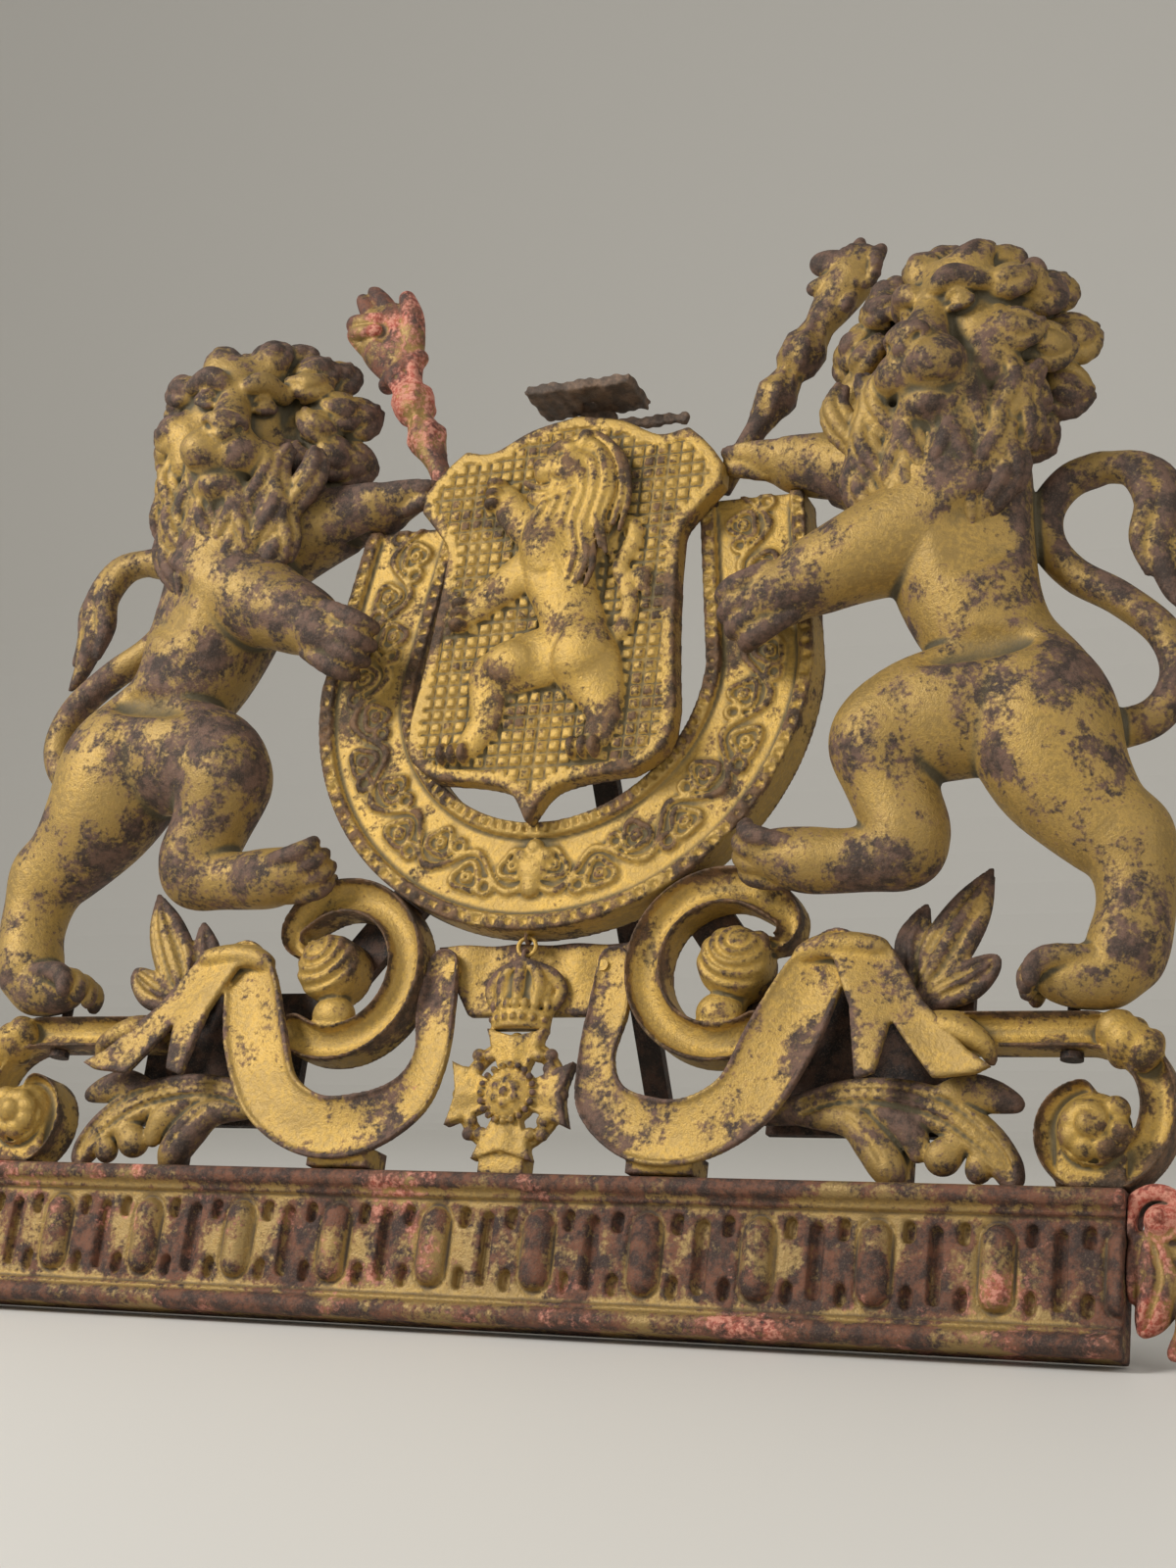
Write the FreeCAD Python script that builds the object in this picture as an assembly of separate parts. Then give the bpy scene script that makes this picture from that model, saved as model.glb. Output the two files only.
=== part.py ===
"""Cast iron coat of arms: rail, scrolls, ribbons, collar, shield and two lions, leaning back on a rear stay.

The plate is laid out upright: X along the rail, Y from front to back with 0 on the flat back of the
castings, Z up from the rail's foot. At the end every piece is tipped back about the rail's heel.
"""
import FreeCAD, Part
import math
import os

V = FreeCAD.Vector
ACROSS = V(0, 1, 0)

# Driving dimensions, in mm and degrees
lean_deg = 16.0
clearance = 0.3
overrun = 5.0

# Rail
pill_count = 10
pill_pitch = 57.1
pill_width = 16.0
pill_height = 40.0
pill_rise = 5.0
flute_width = 6.0
flute_height = 36.0
flute_depth = 3.0
notch_width = 5.0
notch_height = 10.0
notch_offset = 13.0
rail_height = 75.0
rail_depth = 28.0
rail_wall = 7.0
rail_recess = 8.0
bead_height = 10.0
fillet_height = 3.0
fillet_step = 3.0
rail_end_width = 40.0
rail_end_depth = 24.0

# Scrolls and leaves
scroll_depth = 22.0
scroll_hollow = 6.0
scroll_rim = 3.5
c_scroll_side_deg = 33.6
c_scroll_radius = 41.0
c_scroll_band = 20.0
c_scroll_from_deg = 40.0
c_scroll_turn_deg = 262.0
hook_radius = 10.0
hook_band = 10.0
hook_turn_deg = 170.0
snail_in = 5.0
snail_radius = 19.0
snail_rise = 12.0
ball_drop = 25.0
ball_radius = 11.0
outer_scroll_x = 291.0
outer_scroll_z = 113.0
outer_scroll_radius = 36.0
outer_scroll_band = 18.0
outer_scroll_run = 76.0
outer_scroll_turn_deg = 150.0
volute_x = 297.0
volute_radius = 27.0
volute_rise = 8.0
bud_size = 32.0
bud_at_deg = 45.0
acanthus_x = 138.0
acanthus_length = 125.0
acanthus_depth = 16.0
spray_x = 206.0
spray_z = 170.0
spray_height = 64.0
spray_thickness = 12.0

# Ribbons
ribbon_thickness = 6.0
ribbon_width = 36.0
ribbon_height = 120.0
ribbon_x = 50.0
tail_depth = 10.0
centre_fold_top = 60.0
centre_fold_foot = 34.0
centre_fold_height = 42.0
centre_fold_depth = 8.0

# Badge and ring
badge_z = 117.0
badge_radius = 36.0
badge_depth = 9.0
disc_radius = 13.0
disc_rise = 4.0
wreath_radius = 18.0
wreath_wire = 2.5
crown_width = 43.0
crown_foot_z = 151.0
crown_height = 36.0
crown_depth = 15.0
ring_radius = 5.0
ring_wire = 1.1
eye_radius = 3.0
eye_wire = 1.2

# Collar and shield
collar_z = 348.0
collar_outer = 146.0
collar_band = 60.0
collar_depth = 20.0
collar_rim = 8.0
collar_rim_rise = 4.0
collar_leg = 98.0
collar_leg_in_deg = 8.0
shield_height = 243.0
shield_foot_z = 256.0
shield_half = 92.0
shield_depth = 13.0
shield_bevel = 5.0
seat_width = 66.0
seat_depth = 26.0
seat_thickness = 8.0
seat_gap = 12.0
seat_tab = 34.0
seat_ear = 58.0
seat_ear_height = 8.0
seat_hole = 7.0

# Lions and sceptres
stand_in = 6.0
lion_span = 400.0
sceptre_tilt_deg = 27.0
sceptre_length = 92.0
sceptre_radius = 7.0
sceptre_tail = 26.0
sceptre_y = -14.0
hand_length = 62.0
finial_length = 46.0

# Back iron and fixings
bar_width = 28.0
bar_thickness = 6.0
back_plate_foot = 330.0
junction_width = 100.0
junction_height = 74.0
junction_x = 184.0
junction_z = 139.0
arm_width = 24.0
stay_width = 15.0
stay_thickness = 6.0
stay_tab = 40.0
stay_reach = 262.0
stay_foot = 36.0
screw_radius = 3.0
screw_head = 5.5
screw_head_height = 3.5
screw_bite = 8.0
ear_bite = 32.0
paw_bite = 38.0

# Places chosen by hand, as shares of the sizes named with them
# A lion's sections: across, front to back, up and radius, as shares of lion_span from its foot
torso_shares = [
    (-0.005, -0.065, 0.72, 0.10), (0.008, -0.065, 0.62, 0.095), (0.033, -0.06, 0.53, 0.083),
    (0.07, -0.055, 0.46, 0.072), (0.117, -0.058, 0.385, 0.095), (0.14, -0.055, 0.32, 0.08),
]
raised_thigh_shares = [
    (0.11, -0.065, 0.38, 0.09), (0.03, -0.08, 0.37, 0.082), (-0.055, -0.085, 0.348, 0.072),
]
raised_shank_shares = [
    (-0.06, -0.085, 0.33, 0.062), (-0.038, -0.075, 0.25, 0.05), (-0.03, -0.07, 0.195, 0.046),
]
raised_foot_shares = [
    (-0.02, -0.07, 0.185, 0.036), (-0.1, -0.07, 0.184, 0.036), (-0.165, -0.072, 0.19, 0.04),
    (-0.212, -0.075, 0.195, 0.038),
]
standing_thigh_shares = [
    (0.14, -0.065, 0.37, 0.095), (0.17, -0.065, 0.275, 0.076), (0.22, -0.06, 0.205, 0.058),
]
standing_shank_shares = [
    (0.243, -0.055, 0.2, 0.05), (0.245, -0.052, 0.12, 0.044), (0.235, -0.05, 0.06, 0.046),
]
standing_foot_shares = [
    (0.245, -0.05, 0.04, 0.04), (0.19, -0.052, 0.0385, 0.0385), (0.155, -0.054, 0.0355, 0.0355),
]
lower_foreleg_shares = [
    (0.02, -0.085, 0.64, 0.082), (-0.075, -0.1, 0.595, 0.064), (-0.16, -0.112, 0.555, 0.052),
    (-0.232, -0.112, 0.525, 0.05),
]
upper_foreleg_shares = [
    (-0.03, -0.055, 0.7, 0.07), (-0.15, -0.052, 0.745, 0.052), (-0.275, -0.052, 0.775, 0.045),
]
mane_shares = [
    (-0.02, -0.075, 0.61, 0.03), (-0.018, -0.075, 0.66, 0.085), (-0.01, -0.075, 0.74, 0.12),
    (-0.005, -0.075, 0.82, 0.152), (0.0, -0.075, 0.89, 0.166), (0.005, -0.075, 0.96, 0.15),
    (0.012, -0.072, 1.015, 0.11), (0.018, -0.07, 1.048, 0.05),
]
muzzle_shares = [
    (-0.015, -0.09, 0.87, 0.115), (-0.03, -0.145, 0.852, 0.09), (-0.042, -0.18, 0.836, 0.06),
]
tail_shares = [
    (0.2, -0.03, 0.355, 0.024), (0.257, -0.03, 0.37, 0.021), (0.285, -0.03, 0.42, 0.02),
    (0.268, -0.03, 0.48, 0.02), (0.212, -0.03, 0.533, 0.02), (0.155, -0.03, 0.57, 0.02),
    (0.12, -0.03, 0.615, 0.02), (0.115, -0.03, 0.665, 0.02), (0.142, -0.03, 0.705, 0.02),
    (0.185, -0.03, 0.722, 0.022), (0.225, -0.03, 0.705, 0.027), (0.247, -0.03, 0.66, 0.031),
    (0.25, -0.03, 0.615, 0.033), (0.262, -0.03, 0.56, 0.027), (0.285, -0.03, 0.51, 0.014),
]
mane_flat_share = 0.55
lion_flat_share = 0.9
lion_limb_shares = [
    torso_shares, raised_thigh_shares, raised_shank_shares, raised_foot_shares, standing_thigh_shares,
    standing_shank_shares, standing_foot_shares, lower_foreleg_shares, upper_foreleg_shares,
    muzzle_shares, tail_shares,
]

# The relief lion on the shield: across, up and radius, as shares of shield_height
relief_shares = [
    [(0.005, 0.70, 0.085), (0.02, 0.57, 0.085), (0.035, 0.45, 0.07), (0.05, 0.36, 0.075)],
    [(0.015, 0.86, 0.065), (-0.02, 0.84, 0.068), (-0.07, 0.815, 0.04)],
    [(-0.03, 0.70, 0.04), (-0.12, 0.75, 0.034), (-0.175, 0.81, 0.034)],
    [(-0.03, 0.61, 0.042), (-0.145, 0.55, 0.034), (-0.23, 0.50, 0.034)],
    [(0.01, 0.39, 0.06), (-0.12, 0.33, 0.046), (-0.155, 0.24, 0.034), (-0.175, 0.165, 0.034)],
    [(0.06, 0.37, 0.06), (0.13, 0.28, 0.042), (0.17, 0.2, 0.03), (0.185, 0.155, 0.03)],
    [(0.075, 0.39, 0.02), (0.15, 0.4, 0.02), (0.165, 0.48, 0.02), (0.125, 0.56, 0.02),
     (0.155, 0.64, 0.028)],
]
relief_flat_share = 0.45

# Half of the shield's edge, from the top's peak to the foot: across by shield_half, up by shield_height
shield_top_shares = [(0.0, 1.0), (0.30, 0.975), (0.55, 0.928), (0.74, 0.938)]
shield_side_edge_shares = [(0.74, 0.938), (0.9, 0.88), (1.0, 0.80), (0.80, 0.705), (0.76, 0.64),
                           (0.80, 0.40), (0.85, 0.24), (0.80, 0.155), (0.62, 0.11)]
shield_foot_shares = [(0.62, 0.11), (0.30, 0.095), (0.12, 0.07), (0.0, 0.0)]

# The ribbon's front band: inner and outer edge as across and up, then front, as shares of ribbon_height
ribbon_shares = [
    (0.05, 0.93, -0.09, 0.93, -0.12), (0.085, 0.74, -0.09, 0.74, -0.12),
    (0.06, 0.52, -0.11, 0.49, -0.15), (0.135, 0.37, -0.05, 0.24, -0.2),
    (0.285, 0.31, 0.185, 0.055, -0.24), (0.45, 0.31, 0.485, 0.04, -0.25), (0.60, 0.42, 0.77, 0.19, -0.25),
    (0.685, 0.65, 0.945, 0.46, -0.25), (0.80, 0.90, 1.0, 0.75, -0.25),
]
tail_edge_shares = [
    (0.79, 0.86), (0.92, 0.985), (1.15, 1.01), (1.31, 0.83), (1.58, 0.50), (1.35, 0.41), (1.29, 0.53),
    (1.15, 0.37), (0.96, 0.40), (0.90, 0.64),
]

# Leaf edges, as shares of acanthus_length, and the spray's blades as shares of spray_height
acanthus_shares = [
    (0.0, 0.28), (0.22, 0.40), (0.50, 0.41), (0.72, 0.36), (0.82, 0.42), (0.97, 0.38), (0.96, 0.26),
    (0.99, 0.13), (0.96, 0.01), (0.85, 0.03), (0.80, 0.14), (0.75, 0.03), (0.65, 0.05), (0.62, 0.17),
    (0.57, 0.02), (0.44, 0.02), (0.37, 0.16), (0.22, 0.22),
]
acanthus_top_share = 0.82
blade_shares = [
    [(0.05, 0.0, 0.12), (0.2, 0.3, 0.2), (0.4, 0.62, 0.18), (0.56, 0.98, 0.02)],
    [(-0.02, 0.1, 0.1), (-0.03, 0.4, 0.13), (0.02, 0.62, 0.08), (0.06, 0.75, 0.02)],
    [(0.2, 0.04, 0.12), (0.42, 0.14, 0.15), (0.56, 0.24, 0.1), (0.62, 0.3, 0.03)],
]

# The rail end's leafy edge: across by rail_end_width, up by rail_height
rail_end_shares = [
    (0.0, 0.74), (0.06, 0.94), (0.35, 1.01), (0.62, 0.93), (0.80, 0.78), (0.72, 0.62), (0.95, 0.56),
    (1.0, 0.36), (0.88, 0.14), (0.66, 0.02), (0.44, 0.10), (0.3, 0.26), (0.1, 0.42), (0.12, 0.58),
]
# Sceptre turning: distance along by sceptre_length, radius by sceptre_radius
sceptre_shares = [
    (0.0, 0.9), (0.18, 0.95), (0.3, 1.35), (0.42, 1.75), (0.55, 1.2), (0.66, 1.9), (0.78, 1.9),
    (0.9, 1.25), (1.0, 1.0),
]
finger_shares = [
    [(0.0, 0.5, 0.13), (0.12, 0.78, 0.1), (0.2, 1.0, 0.07)],
    [(-0.1, 0.5, 0.13), (-0.06, 0.82, 0.1), (-0.02, 1.04, 0.07)],
    [(-0.2, 0.46, 0.12), (-0.34, 0.7, 0.09), (-0.42, 0.86, 0.07)],
    [(0.12, 0.34, 0.12), (0.32, 0.52, 0.1), (0.36, 0.74, 0.08)],
]
palm_shares = [(0.0, 0.0, 0.2), (-0.01, 0.2, 0.21), (-0.04, 0.42, 0.25), (-0.04, 0.6, 0.22)]
finial_shares = [
    [(0.0, -0.1, 0.2), (0.0, 0.3, 0.26), (0.02, 0.62, 0.3), (0.04, 0.8, 0.26)],
    [(0.0, 0.55, 0.22), (-0.3, 0.62, 0.17), (-0.48, 0.6, 0.13)],
    [(0.1, 0.8, 0.16), (0.12, 1.02, 0.1)],
    [(-0.08, 0.82, 0.14), (-0.1, 1.0, 0.09)],
]

# A limb's nose: distance on and size by the end's radius
nose_shares = [(0.55, 0.82), (0.94, 0.3)]
limb_sides = 10
# A dome's profile: distance out by its radius, height by its rise
dome_shares = [(0.97, 0.3), (0.82, 0.62), (0.55, 0.88), (0.2, 1.0), (0.0, 1.0)]
# Rail end bosses: across by rail_end_width, up and radius by rail_height, rise by rail_end_depth
rail_end_boss_shares = [(0.36, 0.82, 0.14, 0.15), (0.62, 0.36, 0.2, 0.2)]
acanthus_rib_shares = [(0.08, 0.3, 0.06), (0.4, 0.31, 0.07), (0.72, 0.25, 0.06), (0.9, 0.14, 0.05)]
acanthus_foot_shares = (0.45, 0.57, 0.2)
rib_y_share = 0.75
rib_flat_share = 0.6
volute_foot_share = 0.6
ribbon_foot_shares = (0.33, 0.1)
bevel_share = 0.95
# One arm of the badge's cross and half of its crown: across and up by badge_radius or crown sizes
arm_shares = [(0.16, 0.1), (0.5, 1.0), (0.0, 0.86)]
crown_shares = [(0.38, 0.0), (0.4, 0.2), (0.5, 0.5), (0.46, 0.74), (0.3, 0.92), (0.1, 1.0)]
crown_hollow_shares = [(0.24, 0.68, 0.11), (0.0, 0.66, 0.1)]
hand_flat_share = 0.6
# Rivets on a junction plate, across by junction_width and up by junction_height from its middle
rivet_shares = [(-0.16, -0.36), (0.41, 0.13), (0.28, 0.4)]
# Screws up the shield by shield_height, and in its ears, across by shield_half and up by shield_height
shield_bolt_shares = (0.4, 0.55, 0.86)
ear_screw_shares = (0.87, 0.77)
fold_rivet_shares = (0.72, 0.4)
stay_bolt_share = 0.3
foot_screw_share = 0.175
rail_end_screw_share = 0.74
# Where the stay's top sits up the shield, and the upper paw's grip across and up the lion
stay_top_share = 0.609
grip_shares = (-0.3075, 0.799)

rail_half = (pill_count + 1) / 2 * pill_pitch
rail_top = rail_height + clearance
c_scroll_outer = c_scroll_radius + c_scroll_band / 2
c_scroll_reach = collar_outer + c_scroll_outer + clearance
c_scroll_x = c_scroll_reach * math.sin(math.radians(c_scroll_side_deg))
c_scroll_z = collar_z - c_scroll_reach * math.cos(math.radians(c_scroll_side_deg))
lion_foot_z = outer_scroll_z + outer_scroll_radius + outer_scroll_band / 2 + clearance
back_y = -collar_depth - collar_rim_rise - clearance
frieze_y = -rail_depth + rail_recess
collar_mid = collar_outer - collar_band / 2
stay_top_z = shield_foot_z + stay_top_share * shield_height
stand_x = outer_scroll_x - stand_in
lion_x = stand_x - foot_screw_share * lion_span
sceptre_x = lion_x + grip_shares[0] * lion_span
sceptre_z = lion_foot_z + grip_shares[1] * lion_span
bar_back = back_y + clearance + bar_thickness
eye_y = -crown_depth - clearance
ring_z = collar_z - collar_outer - eye_radius * 2 / 3 - ring_radius


def fused(shapes):
    """Joins touching solids into one casting."""
    whole = shapes[0].multiFuse(shapes[1:]) if len(shapes) > 1 else shapes[0]
    return whole.removeSplitter()


def mirrored(shape):
    """The same casting for the other side of the plate."""
    return shape.mirror(V(0, 0, 0), V(1, 0, 0))


def block(x0, x1, y0, y1, z0, z1):
    """A square block between two corners."""
    return Part.makeBox(x1 - x0, y1 - y0, z1 - z0, V(x0, y0, z0))


def limb(stations, flat=1.0):
    """A swelling limb through round sections (x, y, z, radius), flattened front to back, with two noses."""
    near, far = stations[0], stations[-1]
    places = [V(x, y, z) for x, y, z, r in stations]
    radii = [r for x, y, z, r in stations]
    ways = [(places[min(i + 1, len(places) - 1)] - places[max(i - 1, 0)]).normalize()
            for i in range(len(places))]
    head = [(places[0] - ways[0] * (near[3] * go), near[3] * size, ways[0])
            for go, size in reversed(nose_shares)]
    tail = [(places[-1] + ways[-1] * (far[3] * go), far[3] * size, ways[-1]) for go, size in nose_shares]
    wires = []
    for place, radius, way in head + list(zip(places, radii, ways)) + tail:
        side = ACROSS.cross(way).normalize()
        out = way.cross(side)
        ring = []
        for k in range(limb_sides):
            turn = 2 * math.pi * k / limb_sides
            ring.append(place + side * (radius * math.cos(turn)) + out * (radius * flat * math.sin(turn)))
        wires.append(Part.makePolygon(ring + ring[:1]))
    return Part.makeLoft(wires, True, True)


def curve(points, closed=True):
    """A smooth curve through points."""
    spline = Part.BSplineCurve()
    spline.interpolate(points, PeriodicFlag=closed)
    return spline.toShape()


def relief(edge, foot_y, top_y, top_share):
    """A leaf-like casting: a smooth edge on the back plane, drawn in towards the front."""
    middle = sum((V(x, 0, z) for x, z in edge), V()) / len(edge)
    wires = []
    for y, share in ((foot_y, 1.0), (top_y, top_share)):
        points = [middle + (V(x, 0, z) - middle) * share + ACROSS * y for x, z in edge]
        wires.append(Part.Wire([curve(points)]))
    return Part.makeLoft(wires, True, True)


def dome(x, y, z, radius, rise, depth):
    """A round boss on the back plane: a short drum with a domed front."""
    edge = [V(0, y, 0), V(radius, y, 0), V(radius, y - depth, 0)]
    edge += [V(radius * out, y - depth - rise * up, 0) for out, up in dome_shares]
    boss = Part.Face(Part.makePolygon(edge + edge[:1])).revolve(V(0, 0, 0), ACROSS, 360)
    boss.translate(V(x, 0, z))
    return boss


def channel(radius, band, depth, hollow, rim):
    """Section of a scroll band across its radius: flat back, hollowed front between two rims."""
    inner, outer = radius - band / 2, radius + band / 2
    edge = [(inner, 0), (outer, 0), (outer, -depth), (outer - rim, -depth), (radius, hollow - depth),
            (inner + rim, -depth), (inner, -depth), (inner, 0)]
    return Part.Face(Part.makePolygon([V(x, y, 0) for x, y in edge]))


def band_arc(section, x, z, from_deg, turn_deg):
    """Carries a band's section round an arc in the plate, from an angle above +X and on by a turn."""
    start = section.rotated(V(0, 0, 0), ACROSS, -from_deg)
    arc = start.revolve(V(0, 0, 0), ACROSS, -turn_deg)
    arc.translate(V(x, 0, z))
    return arc


def screw(place, way, bite):
    """A round-headed screw whose head seats at a place, the shank going in against the given way."""
    seat = place + way * clearance
    shank = Part.makeCylinder(screw_radius, bite, seat, -way)
    head = Part.makeCylinder(screw_head, screw_head_height, seat, way)
    return shank.fuse(head).removeSplitter()


def drilled(shape, places, way, bite):
    """Cuts the clearance holes that the screws at these places need."""
    for place in places:
        hole = Part.makeCylinder(screw_radius + clearance, bite + overrun, place + way * overrun, -way)
        shape = shape.cut(hole)
    return shape


def main_solid(shape):
    """The casting itself, without slivers left by trimming."""
    return max(shape.Solids, key=lambda solid: solid.Volume)


def base_rail():
    """The rail: a moulded channel open at the back, with pills, flutes and notches along its frieze."""
    top_fillet = rail_height - bead_height - fillet_height
    bead = bead_height / 2
    front = [V(0, 0, 0), V(0, -rail_depth + bead, 0)]
    lower = Part.Arc(front[1], V(0, -rail_depth, bead), V(0, -rail_depth + bead, bead_height))
    upper_foot = V(0, -rail_depth + bead, rail_height - bead_height)
    upper_end = V(0, -rail_depth + bead, rail_height)
    upper = Part.Arc(upper_foot, V(0, -rail_depth, rail_height - bead), upper_end)
    step_y = frieze_y - fillet_step
    steps = [V(0, -rail_depth + bead, bead_height), V(0, step_y, bead_height),
             V(0, step_y, bead_height + fillet_height), V(0, frieze_y, bead_height + fillet_height),
             V(0, frieze_y, top_fillet), V(0, step_y, top_fillet),
             V(0, step_y, top_fillet + fillet_height), upper_foot]
    back = [upper_end, V(0, 0, rail_height), V(0, 0, 0)]
    edges = Part.makePolygon(front).Edges + [lower.toShape()] + Part.makePolygon(steps).Edges
    edges += [upper.toShape()] + Part.makePolygon(back).Edges
    section = Part.Face(Part.Wire(Part.__sortEdges__(edges)))
    section.translate(V(-rail_half, 0, 0))
    rail = section.extrude(V(2 * rail_half, 0, 0))
    inside = rail_half - rail_wall
    pocket_y = frieze_y + rail_wall
    rail = rail.cut(block(-inside, inside, pocket_y, overrun, rail_wall, rail_height - rail_wall))
    middle = (bead_height + top_fillet + fillet_height) / 2
    pill_radius = (pill_rise ** 2 + (pill_width / 2) ** 2) / (2 * pill_rise)
    pill_axis = frieze_y + pill_radius - pill_rise
    pills = []
    cuts = []
    for k in range(pill_count):
        x = (k - (pill_count - 1) / 2) * pill_pitch
        low = middle - pill_height / 2 + pill_width / 2
        pill = Part.makeCylinder(pill_radius, pill_height - pill_width, V(x, pill_axis, low))
        ends = [Part.makeCone(pill_radius, pill_radius / 2, pill_width / 2, V(x, pill_axis, z),
                              V(0, 0, way))
                for z, way in ((low, -1), (low + pill_height - pill_width, 1))]
        pill = pill.multiFuse(ends).removeSplitter()
        pills.append(pill)
    for k in range(pill_count + 1):
        x = (k - pill_count / 2) * pill_pitch
        cuts.append(block(x - flute_width / 2, x + flute_width / 2,
                          frieze_y - overrun, frieze_y + flute_depth,
                          middle - flute_height / 2, middle + flute_height / 2))
        for side in (-1, 1):
            mid = x + side * notch_offset
            for z in (middle - flute_height / 2, middle + flute_height / 2 - notch_height):
                cuts.append(block(mid - notch_width / 2, mid + notch_width / 2, frieze_y - fillet_step,
                                  frieze_y + flute_depth, z, z + notch_height))
    rail = rail.cut(Part.makeCompound(cuts))
    behind = block(-rail_half, rail_half, frieze_y + rail_wall / 2, 0, bead_height, top_fillet)
    pills = [pill.cut(behind) for pill in pills]
    return fused([rail] + pills)


def rail_end():
    """The right end's casting: a leafy edge with a small volute at its top and a leaf boss below."""
    x0 = rail_half + clearance
    edge = [(x0 + x * rail_end_width, z * rail_height) for x, z in rail_end_shares]
    leaf = relief(edge, 0, -rail_end_depth * acanthus_top_share, acanthus_top_share)
    bosses = [dome(x0 + x * rail_end_width, 0, z * rail_height, r * rail_height, rise * rail_end_depth,
                   rail_end_depth)
              for x, z, r, rise in rail_end_boss_shares]
    whole = fused([leaf] + bosses)
    whole = whole.cut(block(0, x0, -rail_depth * 2, rail_depth, -rail_height, rail_height * 2))
    return whole.cut(block(0, 2 * rail_half, -rail_depth * 2, rail_depth, -rail_height, 0))


def c_scroll():
    """The inner scroll: an open hollowed ring with a hooked end, a snail boss and a ball."""
    section = channel(c_scroll_radius, c_scroll_band, scroll_depth, scroll_hollow, scroll_rim)
    ring = band_arc(section, c_scroll_x, c_scroll_z, c_scroll_from_deg, c_scroll_turn_deg)
    turn = math.radians(c_scroll_from_deg)
    reach = c_scroll_radius - hook_radius
    hook_x = c_scroll_x + reach * math.cos(turn)
    hook_z = c_scroll_z + reach * math.sin(turn)
    hook_section = channel(hook_radius, hook_band, scroll_depth - scroll_rim, scroll_hollow / 2,
                           scroll_rim / 2)
    hook = band_arc(hook_section, hook_x, hook_z, c_scroll_from_deg, -hook_turn_deg)
    snail_x = c_scroll_x + snail_in
    snail_z = c_scroll_z + snail_in / 2
    ball_z = c_scroll_z - ball_drop
    snail = dome(snail_x, 0, snail_z, snail_radius, snail_rise, scroll_depth - scroll_hollow)
    whorl = dome(snail_x + snail_radius / 4, 0, snail_z + snail_radius / 4, snail_radius / 2, snail_rise,
                 scroll_depth)
    ball = dome(c_scroll_x, 0, ball_z, ball_radius, ball_radius / 2, scroll_depth / 2)
    stalk_top = c_scroll_z - c_scroll_radius
    stalk = block(c_scroll_x - ball_radius / 3, c_scroll_x + ball_radius / 3, -scroll_depth / 3, 0,
                  stalk_top, snail_z)
    return fused([ring, hook, snail, whorl, ball, stalk])


def outer_scroll():
    """The outer scroll: a hollowed band that runs out, turns down and rolls into a volute on the rail."""
    section = channel(outer_scroll_radius, outer_scroll_band, scroll_depth, scroll_hollow, scroll_rim)
    arc = band_arc(section, outer_scroll_x, outer_scroll_z, 90, -outer_scroll_turn_deg)
    straight = section.rotated(V(0, 0, 0), ACROSS, -90).extrude(V(-outer_scroll_run, 0, 0))
    straight.translate(V(outer_scroll_x, 0, outer_scroll_z))
    volute_z = rail_top + volute_radius
    volute = dome(volute_x, 0, volute_z, volute_radius, volute_rise, scroll_depth)
    whorl = dome(volute_x, 0, volute_z, volute_radius / 2, volute_rise, scroll_depth + volute_rise / 2)
    foot_half = volute_radius * volute_foot_share
    foot = block(volute_x - foot_half, volute_x + foot_half, -scroll_depth, 0, rail_top, volute_z)
    turn = math.radians(bud_at_deg)
    reach = outer_scroll_radius + outer_scroll_band / 4
    bud_x = outer_scroll_x + reach * math.cos(turn)
    bud_z = outer_scroll_z + reach * math.sin(turn)
    bud = dome(bud_x, 0, bud_z, bud_size / 2, bud_size / 4, scroll_depth - scroll_rim)
    whole = fused([arc, straight, volute, whorl, foot, bud])
    under = block(0, rail_half * 2, -rail_depth * 2, rail_depth, 0, rail_top)
    over = block(0, rail_half * 2, -rail_depth * 2, rail_depth,
                 lion_foot_z - clearance, lion_foot_z + rail_height)
    return whole.cut(under).cut(over)


def acanthus():
    """The lobed leaf that lies along the rail: a drawn-in edge with a raised midrib."""
    edge = [(acanthus_x + x * acanthus_length, rail_top + z * acanthus_length) for x, z in acanthus_shares]
    leaf = relief(edge, 0, -acanthus_depth, acanthus_top_share)
    rib = limb([(acanthus_x + x * acanthus_length, -acanthus_depth * rib_y_share,
                 rail_top + z * acanthus_length,
                 r * acanthus_length) for x, z, r in acanthus_rib_shares], rib_flat_share)
    foot_from, foot_to, foot_up = acanthus_foot_shares
    foot = block(acanthus_x + foot_from * acanthus_length, acanthus_x + foot_to * acanthus_length,
                 -acanthus_depth, 0, rail_top, rail_top + foot_up * acanthus_length)
    return fused([leaf, rib, foot]).cut(block(0, rail_half, -rail_depth * 2, rail_depth, 0, rail_top))


def leaf_spray():
    """The upright spray: three swelling blades from one root."""
    blades = []
    for blade in blade_shares:
        stations = [(spray_x + x * spray_height, -spray_thickness / 2, spray_z + z * spray_height,
                     r * spray_height)
                    for x, z, r in blade]
        blades.append(limb(stations, spray_thickness / spray_height * 2))
    whole = fused(blades).cut(block(0, rail_half, -rail_depth, rail_depth, 0, lion_foot_z))
    return main_solid(whole.cut(block(0, rail_half, 0, rail_depth, 0, rail_half * 2)))


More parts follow.
